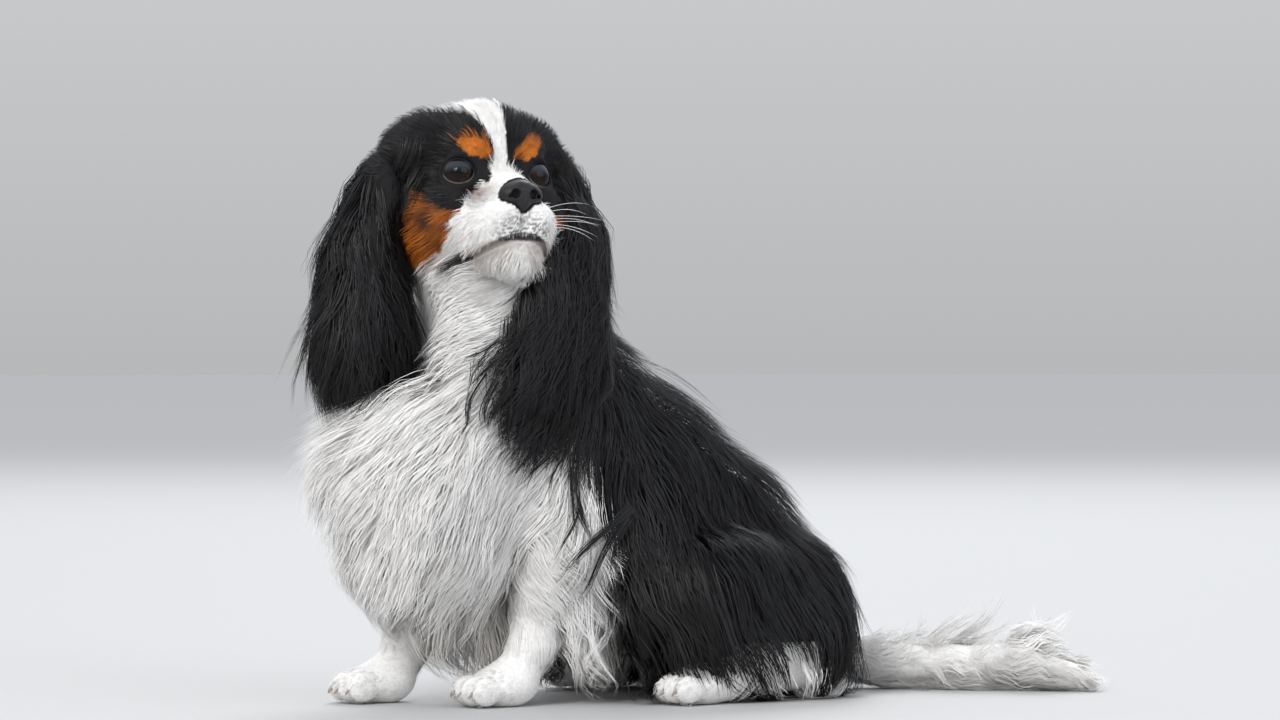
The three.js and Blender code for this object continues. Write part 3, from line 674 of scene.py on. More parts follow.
def fur_material(name, rough, bump, scale):
    material, tree, shader = material_of(name, rough, Specular_IOR_Level=0.28)
    colour = add(tree, "ShaderNodeAttribute", attribute_name="coat")
    place = add(tree, "ShaderNodeTexCoord")
    noise = add(tree, "ShaderNodeTexNoise", Scale=scale, Detail=3.0)
    link(tree, place, "Object", noise, "Vector")
    tone = add(tree, "ShaderNodeMapRange", To_Min=0.72, To_Max=1.2)
    link(tree, noise, "Fac", tone, "Value")
    mixed = add(tree, "ShaderNodeMix", data_type="RGBA", blend_type="MULTIPLY")
    mixed.inputs["Factor"].default_value = 1.0
    link(tree, colour, "Color", mixed, 6)
    link(tree, tone, "Result", mixed, 7)
    link(tree, mixed, 2, shader, "Base Color")
    if bump:
        fine = add(tree, "ShaderNodeTexNoise", Scale=scale * 4, Detail=4.0)
        link(tree, place, "Object", fine, "Vector")
        raised = add(tree, "ShaderNodeBump", Strength=0.6, Distance=bump)
        link(tree, fine, "Fac", raised, "Height")
        link(tree, raised, "Normal", shader, "Normal")
    return material


skin_material = fur_material("short_fur", rough=0.75, bump=0.0012, scale=420)
coat_material = fur_material("long_hair", rough=0.46, bump=0, scale=90)

# Skin
# Across, along and up, with cells of 1.5 round the head
FINE_CELL = 1.5
axes = [
    spaced(-118, 128, -52, 88, FINE_CELL, 3.6),
    spaced(-350, 192, -312, -184, FINE_CELL, 3.8),
    spaced(-3, 414, 266, 408, FINE_CELL, 3.8),
]
points, quads = netted(skin_field, axes)
points = settle(points, skin_field, 0.8)
skin_mesh = mesh_of("skin", points, quads)
skin_regions = region_of(points)
paint(skin_mesh, "coat", marks(points, skin_regions))
skin = piece_of("skin", skin_mesh, skin_material)
flesh = [
    "head", "neck", "torso", "chest", "flank_left", "flank_right", "tail",
    *[f"{part}_{side}" for part in ("ear", "foreleg", "forepaw", "thigh", "hock", "hindpaw") for side in SIDES],
]
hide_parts(*flesh)


# Coat
def scatter(names, count, keep):
    """Random places on the skin of the named regions, evenly by area."""
    chosen = np.isin(skin_regions, [REGION_NAMES.index(n) for n in names])
    faces = quads[chosen[quads].all(axis=1)]
    a, b, c, d = (points[faces[:, n]] for n in range(4))
    area = np.linalg.norm(np.cross(c - a, d - b), axis=1) / 2
    if keep is not None:
        area = area * keep((a + c) / 2)
    pick = rng.choice(len(faces), count, p=area / area.sum())
    s, t = rng.random((2, count, 1))
    return mix(mix(a[pick], b[pick], s), mix(d[pick], c[pick], s), t)


def grow(roots, skin, tips, lie, long, level, rise, flare, stations, wave, turns, phase, sink, start):
    """Middle lines of locks: from under the skin they rise to their level in the coat along its lie."""
    at = roots - slope_of(skin, roots) * sink
    if start > 0:
        for _ in range(4):
            at = at - slope_of(tips, at) * np.clip(mix(skin(at), tips(at), start), -6, 6)[:, None]
    line, outs = [], []
    steps = stations - 1
    for i in range(stations):
        share = i / steps
        height = start + (level - start) * share**rise + flare * share**2.5

        def layer(p):
            return mix(skin(p) + sink * (1 - share) * (start == 0), tips(p), height)

        if i > 0:
            for _ in range(2):
                at = at - slope_of(layer, at) * np.clip(layer(at), -9, 9)[:, None]
        at[:, 2] = np.maximum(at[:, 2], FLOOR_GAP + 0.6)
        out = slope_of(layer, at)
        line.append(at.copy())
        outs.append(out)
        way = lie(at)
        way = unit(way - (way * out).sum(1, keepdims=True) * out)
        bend = (wave * (0.5 + 0.9 * share) * np.sin(phase + share * turns * 2 * np.pi))[:, None]
        way = way * np.cos(bend) + np.cross(out, way) * np.sin(bend)
        at = at + way * (long / steps)[:, None]
    return np.stack(line, 1), np.stack(outs, 1)


def along_line(line, share):
    """Points of each line at shares of its length, given per line and station."""
    steps = line.shape[1] - 1
    f = np.clip(share, 0, 1) * steps
    i = np.minimum(f.astype(int), steps - 1)
    f = (f - i)[..., None]
    rows = np.arange(len(line))[:, None]
    before, a, b, after = (line[rows, np.clip(i + n, 0, steps)] for n in (-1, 0, 1, 2))
    cubic = f * (3 * (a - b) + after - before)
    return a + 0.5 * f * (b - before + f * (2 * before - 5 * a + 4 * b - after + cubic))


def strands(line, outs, each, width, clump, hair, colours, frizz, stations):
    """Locks of many thin strands, each a closed, tapered, three-sided blade. Returns what coat_piece needs."""
    count = len(line)
    owner = np.repeat(np.arange(count), each)
    n = len(owner)
    share = np.linspace(0, 1, stations)[None] * rng.uniform(0.72, 1.0, (n, 1))
    path = along_line(line[owner], share)
    out = unit(along_line(outs[owner], share))
    along = unit(np.gradient(path, axis=1))
    across = unit(np.cross(along, out))
    out = np.cross(across, along)
    side = rng.normal(0, 0.36, (n, 1)) * width[owner][:, None]
    deep = rng.uniform(-0.12, 0.16, (n, 1)) * width[owner][:, None]
    free = np.where(rng.random((n, 1)) < 0.2, 1.1, clump)
    open_ = mix(1.0, free, share**0.8)
    curl = frizz * share * np.sin(rng.uniform(0, 6.28, (n, 1)) + share * rng.uniform(3, 7, (n, 1)))
    path = path + across * (side * open_ + curl)[..., None] + out * (deep * open_ + 0.6 * curl)[..., None]
    taper = np.interp(np.linspace(0, 1, stations), [0, 0.25, 0.7, 1], [0.7, 1, 0.8, 0.12])[None]
    thick = hair * rng.uniform(0.75, 1.25, (n, 1)) * taper
    path[..., 2] = np.maximum(path[..., 2], FLOOR_GAP + 0.25 * thick)
    shade = colours[owner] * np.repeat(rng.uniform(0.93, 1.02, (count, 1)), each, 0)
    shade = shade * rng.uniform(0.96, 1.02, (n, 1))
    return path, across, out, thick, shade, line[owner, 0]


FULL_TURN, HALF_TURN = 6.2832, 3.1416


def unwrap(roots, centre):
    """A map of the skin round a centre: turn and height of the way to each root."""
    way = unit(roots - centre)
    turn, height = np.arctan2(way[:, 1], way[:, 0]), np.arcsin(np.clip(way[:, 2], -1, 1))
    return np.column_stack([turn / FULL_TURN + 0.5, height / HALF_TURN + 0.5])


# Size of each strand's patch on the map, and how round a strand is shaded and how far it is turned
PATCH = 0.003
ROUNDED, TURNED = 0.1, 0.06


def blades(made, centre):
    """Vertices, triangles, colours, map and normals of one set of strands."""
    path, across, out, thick, shade, roots = made
    n, stations, _ = path.shape
    broad, deep = across * thick[..., None], out * thick[..., None]
    half, low = 0.5 * broad, 0.08 * deep
    corners = np.stack([path - half - low, path + half - low, path + 0.14 * deep], 2)
    corners[..., 2] = np.maximum(corners[..., 2], FLOOR_GAP)
    rings = stations - 1
    vertices = np.concatenate([corners[:, :rings].reshape(n, rings * 3, 3), path[:, -1:]], 1)
    per = rings * 3 + 1
    faces = []
    for r in range(rings - 1):
        for s in range(3):
            a, b = r * 3 + s, r * 3 + (s + 1) % 3
            faces += [[a, b + 3, b], [a, a + 3, b + 3]]
    last = (rings - 1) * 3
    faces += [[last + 1, last, per - 1], [last + 2, last + 1, per - 1], [last, last + 2, per - 1], [0, 1, 2]]
    triangles = (np.arange(n)[:, None, None] * per + np.array(faces)[None]).reshape(-1, 3)
    # Painted shade: each strand is darker towards its root, deep in the coat, and a little lighter at its tip,
    # out in the light
    root_shade = np.interp(np.arange(rings) / rings, [0, 0.3, 1], [0.93, 0.98, 1.0])
    root_shade = np.concatenate([np.repeat(root_shade, 3), [1.02]])
    colours = shade[:, None, :] * root_shade[None, :, None]
    at = unwrap(roots, centre) * (1 - 2 * PATCH) + PATCH
    ring_uv = np.column_stack([np.tile([-0.5, 0.5, 0.0], rings), np.repeat(np.arange(rings) / rings - 0.5, 3)])
    ring_uv = np.vstack([ring_uv, [0, 0.5]]) * PATCH
    uv = at[:, None, :] + ring_uv[None]
    # The strands are shaded as the coat that they lie in, each a little turned
    dark = shade.mean(1) < 0.1
    turn = (rng.normal(0, 1, n) * np.where(dark, 4.0, 1.2) * TURNED)[:, None, None]
    sides = np.array([-1, 1, 0])[None, None, :, None] * ROUNDED + turn[..., None]
    normals = unit(out[:, :rings, None, :] + across[:, :rings, None, :] * sides)
    normals = np.concatenate([normals.reshape(n, rings * 3, 3), unit(out[:, -1:] + across[:, -1:] * turn)], 1)
    faces = np.array(faces)
    under = np.all((faces % 3 != 2) | (faces == per - 1), axis=1)
    normals = normals[:, faces] * np.where(under, -1, 1)[None, :, None, None]
    return [v.reshape(-1, v.shape[-1]) for v in (vertices, triangles, colours, uv, normals)]


def coat_piece(name, made, centre):
    """One mesh of strands, with its colours and its map."""
    start, parts = 0, []
    for one in made:
        vertices, triangles, colours, uv, normals = blades(one, centre)
        parts.append((vertices, triangles + start, colours, uv, normals))
        start += len(vertices)
    vertices, triangles, colours, uv, normals = (np.concatenate(p) for p in zip(*parts))
    mesh = mesh_of(name, vertices, triangles)
    paint(mesh, "coat", colours)
    layer = mesh.uv_layers.new(name="OFBake")
    layer.data.foreach_set("uv", uv[triangles.ravel()].astype(np.float32).ravel())
    mesh.normals_split_custom_set(normals.astype(np.float32))
    return piece_of(name, mesh, coat_material)


def colour_at(roots):
    return marks(roots, region_of(roots))


# Ways in the photograph: to its right, and back towards the camera
RIGHT, BACK = np.array([0.4695, 0.8829, 0]), np.array([0.8829, -0.4695, 0])


def steady(way):
    """A lie that is the same everywhere."""
    return lambda p: np.tile(way, (len(p), 1))


def body_lie(p):
    """The lie of the long coat on neck, chest, torso, flanks and thighs."""
    x, y, z = p.T
    flank = np.clip(np.abs(x) / 50, 0, 1)
    trunk = vectors(x * 0.004, mix(0.8, 0.3, flank), mix(-0.6, -1, flank))
    shoulder = vectors(x * 0.004, -0.06, -1)
    trunk = mix(trunk, shoulder, smooth(-150, -200, y)[:, None])
    # On the throat and the chest the hair sweeps to the dog's right as it falls
    sweep = np.interp(z, [60, 110, 170, 220, 262, 300], [0.35, 0.6, 0.85, 1.05, 1.5, 1.6]) * smooth(-50, -8, x)
    chest = vectors(x * 0.004, 0, -1) - sweep[:, None] * RIGHT
    back = vectors(x * 0.004, 0.5, -1)
    front = smooth(-196, -226, y)[:, None]
    high = smooth(225, 262, z)[:, None]
    way = mix(mix(trunk, chest, front), mix(back, chest, smooth(-222, -236, y)[:, None]), high)
    way[:, 1] += 0.28 * wobble(p, 90, 21)
    way[:, 0] += 0.22 * wobble(p, 70, 22)
    return way


leg_skins = [foreleg_skin(leg) for leg in LEGS.values()]
leg_tops = [
    chain(10, [47, -208, 130, 34], [50, -205, 104, 31], [44, -212, 74, 21], [40, -221, 46, 14]),
    chain(10, [-45, -243, 128, 32], [-44, -246, 104, 28], [-40, -263, 74, 19], [-37, -276, 46, 13]),
]
body_skin = blend(12, torso_skin, chest_skin, neck_skin, flank_skin, thigh_skin, *leg_skins)
body_tips = blend(16, torso_tips, chest_tips, neck_tips, flank_tips, thigh_tips, *leg_tops)


def locks(names, count, each, long, width, hair, skin_of, tips_of, lie, clump=0.5, wave=0.25, turns=1.0,
          stations=5, level=(0.35, 1.05), rise=0.4, keep=None, frizz=1.0, stray=0.05, flare=0.1, sink=1.5,
          colour=None, start=0, blow=None):
    """Locks on the named regions, from their skin towards the form that the tips reach.

    There are count locks, each of that many strands. They are as long and wide as given, and hair is the
    thickness of a strand.
    """
    roots = scatter(names, count, keep)
    size = (long(roots) if callable(long) else long) * rng.uniform(0.75, 1.15, count)
    depth = rng.uniform(*level, count) ** 0.7
    wild = rng.random(count) < stray
    depth = np.where(wild, depth * rng.uniform(1.05, 1.35, count), depth)
    phase = 3.2 * wobble(roots, 70, 31) + rng.uniform(-0.5, 0.5, count)
    bend = wave * rng.uniform(0.6, 1.3, count)
    lift = flare * rng.random(count) ** 2 * np.where(wild, 3, 1)
    line, outs = grow(roots, skin_of, tips_of, lie, size, depth, rise, lift, max(stations + 1, 6), bend, turns,
                      phase, sink, start)
    if blow is not None:
        # hair at the edge of the form, as seen along the photograph's view, is blown outwards a little
        edge = smooth(0.55, 1.0, outs @ unit(blow))
        share = np.linspace(0, 1, line.shape[1])[None]
        line = line + (edge * share**2 * rng.random((count, 1)) ** 2)[..., None] * blow
    wide = width * rng.uniform(0.7, 1.3, count)
    colours = colour_at(roots) if colour is None else np.tile(colour, (count, 1))
    return strands(line, outs, each, wide, clump, hair, colours, frizz, stations)


def chest_room(p):
    """The form that the tips reach, with room left for the ear that hangs before its upper part."""
    return cut(body_tips(p), 2 - ear_tips["right"](p) - 1.4 * np.maximum(222 - p[:, 2], 0), 14)


def thigh_long(p):
    """Length of the hair of the thighs, shorter over the white fringe behind the hind paws."""
    fringe = smooth(33, 18, np.abs(p[:, 1] + 62)) * smooth(40, 55, np.abs(p[:, 0]))
    return mix(74, np.clip((p[:, 2] - 29) * 1.1, 18, 74), fringe)


FRONT = np.array([0, -235, 170])
MIDDLE = np.array([0, -90, 110])

# Heights where the hair of the chest ends and the shorter hair of the neck begins
CHEST_TO, NECK_FROM = 236, 226


def body_coat(name, side):
    """The long coat of one side: chest and neck, then torso, flank and thigh."""
    def half(p):
        return p[:, 0] * side > 0

    def low(p):
        return half(p) * (p[:, 2] < CHEST_TO) * (1 + 1.6 * smooth(-270, -305, p[:, 1]))

    def high(p):
        return half(p) & (p[:, 2] >= NECK_FROM)

    coat_piece(f"coat_chest_{name}", [
        locks(["chest", "neck"], 570, 11, lambda p: 60 + 22 * smooth(170, 110, p[:, 2]), 15, 0.62, body_skin,
              chest_room, body_lie, wave=0.34, turns=1.1, level=(0.86, 1.04), keep=low, flare=0.16, clump=0.9,
              stray=0.03, start=0.35, rise=0.5, blow=-14 * RIGHT + [0, 0, 2]),
        locks(["chest", "neck"], 350, 8, 48, 13, 0.6, body_skin, chest_room, body_lie, wave=0.45,
              level=(0.8, 1.0), keep=high, stations=4, flare=0.05, clump=0.8, stray=0, start=0.3, rise=0.5),
    ], FRONT)
    settled = dict(keep=half, level=(0.75, 1.05), start=0.25, rise=0.5)
    coat_piece(f"coat_body_{name}", [
        locks(["torso"], 430, 9, 84, 14, 0.75, body_skin, body_tips, body_lie, flare=0.25,
              blow=10 * RIGHT + [0, 0, 4], **settled),
        locks(["thigh", "flank"], 260, 9, thigh_long, 14, 0.75, body_skin, body_tips, body_lie, flare=0.2,
              **settled),
    ], MIDDLE)


for name, side in SIDES.items():
    body_coat(name, side)


# Long hair from the lower chest and the belly that fills the place between the legs, its white painted greyer
# as shade
def under_lie(p):
    return vectors(-0.003 * p[:, 0], 0.12, -1)


def under_chest(p):
    return (np.abs(p[:, 0]) < 42) & (p[:, 1] < -140) & (p[:, 2] < 135)


def between_legs(p):
    return (np.abs(p[:, 0]) < 34) & (np.abs(p[:, 1] + 230) < 34) & (p[:, 2] < 135)


under_tips = blend(12, chest_tips, bone([0, -250, 44, 36], [0, -160, 40, 40]))
between_skin = bone([0, -238, 120, 5], [0, -230, 16, 2])
between_tips = bone([0, -238, 120, 36], [0, -230, 16, 30])
coat_piece("coat_chest_under", [
    # painted shade: the white of the hair under the chest darkened a little
    locks(["chest", "torso"], 220, 8, 128, 14, 0.75, body_skin, under_tips, under_lie, wave=0.4, turns=1.3,
          level=(0.5, 1.05), colour=WHITE * [0.8, 0.78, 0.76], keep=under_chest),
    # painted shade: the white of the hair between the legs darkened to about half
    locks(["chest", "torso"], 130, 8, 122, 13, 0.75, between_skin, between_tips, under_lie, wave=0.4, turns=1.3,
          level=(0.1, 1.0), colour=WHITE * [0.5, 0.48, 0.46], keep=between_legs),
], FRONT)


def ear_lie(name):
    """Ears hang down and their hair fans out, more so to the sides that the photograph shows."""
    def right(p):
        off = p @ RIGHT + 297
        rate = np.interp(p[:, 2], [185, 215, 250, 290, 345, 372], [-0.02, 0, 0.01, 0.024, 0.027, 0])
        fan = (off * rate)[:, None] * RIGHT
        return vectors(fan[:, 0], fan[:, 1], -1)

    def left(p):
        high = smooth(320, 345, p[:, 2])
        off = p @ RIGHT + 152
        fan = (off * mix(0.011, 0.003, (off > 0)) * smooth(375, 335, p[:, 2]))[:, None] * RIGHT
        return vectors(mix(0.75, 0.35, high) + fan[:, 0], mix(-0.35, 0.3, high) + fan[:, 1], -1)

    return right if name == "right" else left


for name, centre in (("left", [26, -200, 300]), ("right", [-12, -318, 310])):
    inner, outer = ear_skin[name], ear_tips[name]
    if name == "left":
        # this ear lies on the shoulder, and its hair runs on over the body
        inner, outer = blend(14, inner, body_skin), blend(14, outer, grown(body_tips, 5))
    ear, form = [f"ear_{name}"], (inner, outer, ear_lie(name))
    coat_piece(f"coat_ear_{name}", [
        locks(ear, 520, 9, 100, 12, 0.75, *form, wave=0.5, turns=1.4, clump=0.3, level=(0.72, 1.1), flare=0.25,
              keep=lambda p: p[:, 2] < 366),
        locks(ear, 45, 5, 95, 5, 0.45, *form, wave=1.0, turns=1.3, clump=0.6, level=(1.05, 1.3), flare=0.35,
              stations=6, frizz=2.5),
    ], np.array(centre))


def foreleg_coat(name, leg):
    """Feathers behind a foreleg, short fur all round it, and hair of the chest over its upper part."""
    region, shape = [f"foreleg_{name}"], foreleg_skin(leg)

    def behind(p):
        return p[:, 1] > leg["wrist"][1] + (p[:, 2] - 42) * 0.15

    coat_piece(f"coat_foreleg_{name}", [
        locks(region, 120, 10, 60, 9, 0.55, shape, foreleg_tips(leg), steady([0, 0.45, -0.9]), wave=0.6,
              turns=1.3, keep=behind, clump=0.35),
        locks(region, 560, 3, 13, 3, 0.5, shape, grown(shape, 2.6), steady([0, 0.1, -1]), stations=3, wave=0.2,
              frizz=0.3),
        locks(region, 110, 10, 40, 12, 0.55, body_skin, body_tips, steady(0.8 * RIGHT + [0, 0, -0.9]), wave=0.4,
              stations=4, clump=0.7, level=(0.85, 1.02), start=0.3, rise=0.5, keep=lambda p: p[:, 2] > 66),
    ], np.array(leg["wrist"]) + [0, 0, 40])


for name, leg in LEGS.items():
    foreleg_coat(name, leg)

left_leg = LEGS["left"]
leg_form = blend(8, body_tips, foreleg_tips(left_leg), ear_tips["left"])
WISP_LIFT, WISP_HAIR = 3, 0.5


def draped(marks):
    """A line laid on leg_form: its marks are places across RIGHT and up, and it is seen along BACK."""
    marks = np.array(marks, float)
    share = np.linspace(0, len(marks) - 1, 9)
    across, high = (np.interp(share, np.arange(len(marks)), marks[:, n]) for n in (0, 1))
    for run in (across, high, across, high):
        run[1:-1] = (run[:-2] + 2 * run[1:-1] + run[2:]) / 4
    p = across[:, None] * RIGHT + high[:, None] * [0, 0, 1] + 300 * BACK
    for _ in range(60):
        p = p - (np.clip(leg_form(p) - WISP_LIFT, -2, 12) * 0.8)[:, None] * BACK
    return p, slope_of(leg_form, p)


def wisps(rows):
    """Black locks of given width and number of strands, each laid along its marks and thinner to its tip."""
    made = []
    for width, number, marks in rows:
        line, outs = draped(marks)
        line[-3:] += outs[-3:] * np.array([[0.5], [1.5], [2.5]])
        made.append(strands(line[None], outs[None], number, np.array([width * 1.6]), 0.16, WISP_HAIR,
                            BLACK[None], 0.7, 7))
    return made


SHOULDER_WISPS = [
    (3.2, 14, [(-151, 188), (-160, 177), (-167, 168), (-172, 164), (-181, 154), (-187, 148)]),
    (2.6, 10, [(-160, 197), (-165, 185), (-168, 172), (-169, 158)]),
    (1.2, 6, [(-152, 174), (-160, 164), (-166, 154), (-167, 145), (-166, 129)]),
    (4.4, 22, [(-149, 178), (-151, 152), (-149, 137), (-144, 121), (-136, 105)]),
    (2.4, 12, [(-152, 158), (-152, 140), (-151, 125), (-148, 115)]),
    (4.2, 22, [(-112, 133), (-121, 125), (-131, 117), (-141, 109), (-155, 95), (-166, 79)]),
    (3.6, 18, [(-115, 130), (-122, 120), (-131, 105), (-137, 92), (-141, 77), (-155, 63)]),
    (1.4, 7, [(-147, 134), (-149, 125), (-157, 111), (-165, 97)]),
    (3.0, 14, [(-113, 125), (-120, 117), (-125, 101), (-128, 88)]),
    (3.0, 12, [(-168, 202), (-173, 193), (-178, 182), (-182, 174)]),
    (3.0, 12, [(-158, 192), (-165, 182), (-174, 173), (-180, 170)]),
]
EAR_WISPS = [
    (3.0, 14, [(-208, 223), (-217, 211), (-222, 202), (-219, 192), (-220, 186), (-228, 180)]),
    (2.8, 12, [(-200, 218), (-206, 207), (-211, 194), (-207, 184)]),
    (3.4, 14, [(-192, 213), (-200, 204), (-206, 192), (-207, 182)]),
    (3.4, 14, [(-196, 245), (-208, 238), (-217, 234), (-224, 231)]),
    (2.6, 12, [(-196, 234), (-206, 227), (-214, 219), (-220, 210)]),
    (3.0, 12, [(-180, 206), (-186, 198), (-194, 192), (-200, 184)]),
]
coat_piece("coat_shoulder_wisps", wisps(SHOULDER_WISPS), FRONT)
coat_piece("coat_ear_wisps", wisps(EAR_WISPS), FRONT)

# Loops of white hair behind the left foreleg
loop_form = chain(10, [47, -190, 104, 30], [47, -184, 60, 27], [52, -180, 22, 20])
loop_tips = blend(10, foreleg_skin(left_leg), loop_form)
coat_piece("coat_foreleg_feathers", [
    locks(["foreleg_left"], 60, 10, 104, 6, 0.4, foreleg_skin(left_leg), loop_tips,
          lambda p: vectors(0.1, 0.55 * smooth(30, 90, p[:, 2]), -1), wave=0.8, clump=0.3, level=(0.5, 1.1),
          stations=8, stray=0, keep=lambda p: (p[:, 1] > -214) & (p[:, 2] > 55)),
], np.array([47, -190, 70]))


def tail_lie(p):
    middle = mix(6, 96, np.clip((p[:, 1] - 46) / 118, 0, 1))
    return vectors(0.55 + (p[:, 0] - middle) * 0.022, 0.8, (p[:, 2] - 22) * 0.03)


def tail_locks(count, each, long, shorter, width, near, denser, **more):
    """Hair on the tail, shorter and in more locks towards its tip."""
    return locks(["tail"], count, each, lambda p: long - shorter * smooth(122, 162, p[:, 1]), width, 0.6,
                 tail_skin, tail_tips, tail_lie, stations=4, keep=lambda p: 1 + denser * smooth(*near, p[:, 1]),
                 **more)


coat_piece("coat_tail", [
    tail_locks(400, 10, 46, 24, 10, (112, 150), 2.5, wave=1.0, turns=1.2, level=(0.3, 1.1), start=0.1, rise=0.6,
               flare=0.7, frizz=2.2, stray=0.08),
    tail_locks(170, 8, 26, 12, 9, (110, 140), 3, wave=0.8, level=(0.2, 0.6), frizz=1.6, stray=0),
], np.array([50, 104, 20]))


# Hair from the temples over the roots of the ears
def head_world(p):
    return head_solid(to_head(p))


both_ears_skin = blend(10, ear_skin["left"], ear_skin["right"], grown(head_world, -FUR))
both_ears_tips = blend(12, ear_tips["left"], ear_tips["right"], grown(head_world, 2))


def temple_lie(p):
    return vectors(np.sign(to_head(p)[:, 0]) * 0.35, 0.15, -1) @ HEAD_AXES.T


def on_temple(p):
    q = to_head(p)
    return (np.abs(q[:, 0]) > 34) & (np.abs(q[:, 2] - 16) < 13) & (q[:, 1] > -16) & (q[:, 1] < 34)


temples = locks(["head"], 100, 9, 46, 8, 0.55, both_ears_skin, both_ears_tips, temple_lie, wave=0.3,
                level=(0.4, 1.1), keep=on_temple)
coat_piece("coat_temples", [temples], HEAD_AT)


# Short fur of the head, from the nose backwards
def head_lie(p):
    q = to_head(p)
    way = unit(q - np.array([0, -74, -30]))
    way[:, 1] += 0.5
    way[:, 2] -= 0.5 * smooth(-20, -50, q[:, 2]) + 0.25 * smooth(-20, 20, q[:, 1])
    return way @ HEAD_AXES.T


def on_face(p):
    q = to_head(p)
    out, share = eye_shape(q)
    open_eye = (share < 1.16) & (out > 2)
    return (nose_leather(q) > 0.6) & ~open_eye & (lip_line(q) > 2.9)


def head_depth(p):
    """Depth of the short fur: least round the nose and the eyes, most on the cheeks and the crown."""
    q = to_head(p)
    far = smooth(10, 55, np.sqrt(((q - [0, -70, -35]) ** 2).sum(1)))
    out, share = eye_shape(q)
    eye = smooth(1.0, 2.2, share + (out < 0) * 3)
    crown = smooth(12, 40, q[:, 2])
    return 1.0 + (2.0 + 2.0 * crown) * far * eye


def throat_lie(p):
    return mix(head_lie(p), body_lie(p), smooth(-50, -72, to_head(p)[:, 2])[:, None])


def chin_lie(p):
    q = to_head(p)
    return unit(vectors(q[:, 0] * 0.02, 0.7, -1)) @ HEAD_AXES.T


throat_skin = blend(8, both_ears_skin, neck_skin)
throat_tips = blend(16, grown(both_ears_skin, 6), neck_tips)


def head_coat(name, side):
    """Fur of one side of the head: short and longer hair, then the throat and the chin."""
    def near(p):
        """The head, and the upper ears above where their long hair begins."""
        q = to_head(p)
        return on_face(p) & (q[:, 0] * side > 0) & ((np.abs(q[:, 0]) < 52) | (p[:, 2] > 352))

    def under_jaw(p):
        q = to_head(p)
        cheek = (q[:, 2] < -38) & (q[:, 1] > -14)
        return (q[:, 0] * side > 0) & ((q[:, 2] < -60) | cheek) & (q[:, 1] > -42)

    def on_chin(p):
        q = to_head(p)
        return (q[:, 0] * side > 0) & (q[:, 2] < -58) & (q[:, 1] < -34) & (lip_line(q) > 6)

    where = ["head", f"ear_{name}"]
    fur = (both_ears_skin, lambda p: both_ears_skin(p) - head_depth(p), head_lie)
    coat_piece(f"coat_head_{name}", [
        locks(where, 8800, 2, lambda p: 2.4 + 2.0 * head_depth(p), 1.6, 0.42, *fur, stations=2, wave=0.15,
              keep=near, level=(0.3, 1.0), frizz=0.2, clump=0.9, stray=0.02, sink=0.7),
        locks(where, 1000, 2, lambda p: 3.4 + 2.5 * head_depth(p), 2.4, 0.34, *fur, stations=4, wave=0.3,
              keep=near, level=(0.8, 1.25), frizz=0.5, clump=0.9, sink=0.7),
        locks(["head"], 150, 8, 27, 8, 0.45, throat_skin, throat_tips, throat_lie, wave=0.3, stations=4,
              clump=0.7, level=(0.6, 1.0), flare=0.05, stray=0, sink=0.7, keep=under_jaw),
        locks(["head"], 110, 7, 14, 4.5, 0.4, both_ears_skin, grown(both_ears_skin, 5), chin_lie, wave=0.4,
              stations=4, clump=0.6, level=(0.4, 1.1), flare=0.2, stray=0, sink=0.7, keep=on_chin),
    ], HEAD_AT)


for name, side in SIDES.items():
    head_coat(name, side)

for name, at in PAWS.items():
    shape = paw(at)
    fur = locks([name], 500, 2, 8, 1.8, 0.45, shape, grown(shape, 2.0), steady([0, -0.9, -0.35]), stations=3,
                wave=0.2, frizz=0.3, clump=0.8)
    coat_piece(f"coat_{name}", [fur], np.array(at))
hocks = locks(["hock"], 160, 4, 22, 5, 0.8, hock_skin, grown(hock_skin, 5), steady([0, -0.5, -0.6]))
coat_piece("coat_hocks", [hocks], np.array([0, -60, 25]))

# Whiskers
# Rows on the upper lip: height and number of hairs
WHISKER_ROWS = ((-36, 2), (-41, 3), (-46, 2))
WHISKER_THICK = 0.19


def hairs(starts, ways, long, sag):
    """Single stiff hairs that bend down and back a little."""
    share = np.linspace(0, 1, 8)
    taper = WHISKER_THICK * np.interp(share, [0, 0.6, 1], [1, 0.75, 0.15])[None] * np.ones((len(starts), 1))
    share = share[None, :, None]
    path = starts[:, None] + ways[:, None] * long[:, None, None] * share + sag[:, None] * share**2
    out = np.tile(unit(np.array([0.6, -0.6, 0.5])), (*path.shape[:2], 1))
    along = unit(np.gradient(path, axis=1))
    across = unit(np.cross(along, out))
    out = np.cross(across, along)
    return path, across, out, taper * 1.6, np.tile(WHITE, (len(starts), 1)), starts


roots, ways, sags = [], [], []
for side in SIDES.values():
    for row, (high, count) in enumerate(WHISKER_ROWS):
        for n in range(count):
            turn = math.radians(24 + 13 * n + 5 * row)
            way = np.array([side * math.sin(turn), -math.cos(turn), 0])
            start = reach(head_solid, np.array([side * 6.0, -48.0, high - n * 0.8]), way[None])[0]
            roots.append(start - way * 1.5)
            ways.append(unit(way + [side * 0.35, 0.25, 0.25 - 0.22 * row + 0.1 * rng.normal()]))
            sags.append(np.array([0, 6.0, -7.0]) * rng.uniform(0.6, 1.4))
whiskers = hairs(from_head(np.array(roots)), np.array(ways) @ HEAD_AXES.T, rng.uniform(24, 38, len(roots)),
                 np.array(sags) @ HEAD_AXES.T)
coat_piece("whiskers", [whiskers], HEAD_AT)

# Claws
claw_mat = material_of("claw", 0.35, Base_Color=(0.3, 0.25, 0.21, 1))[0]
# Rings from root to tip: how far ahead, height and radius; then the point and the middle of the root
CLAW_RINGS = ((-3, 0, 2.0), (-0.6, -0.6, 2.0), (1.6, -2.2, 1.5), (3.2, -4.2, 0.9))
CLAW_POINT, CLAW_ROOT = [0, -3.7, -5.2], [0, 3.6, 0]
ROUND = 8


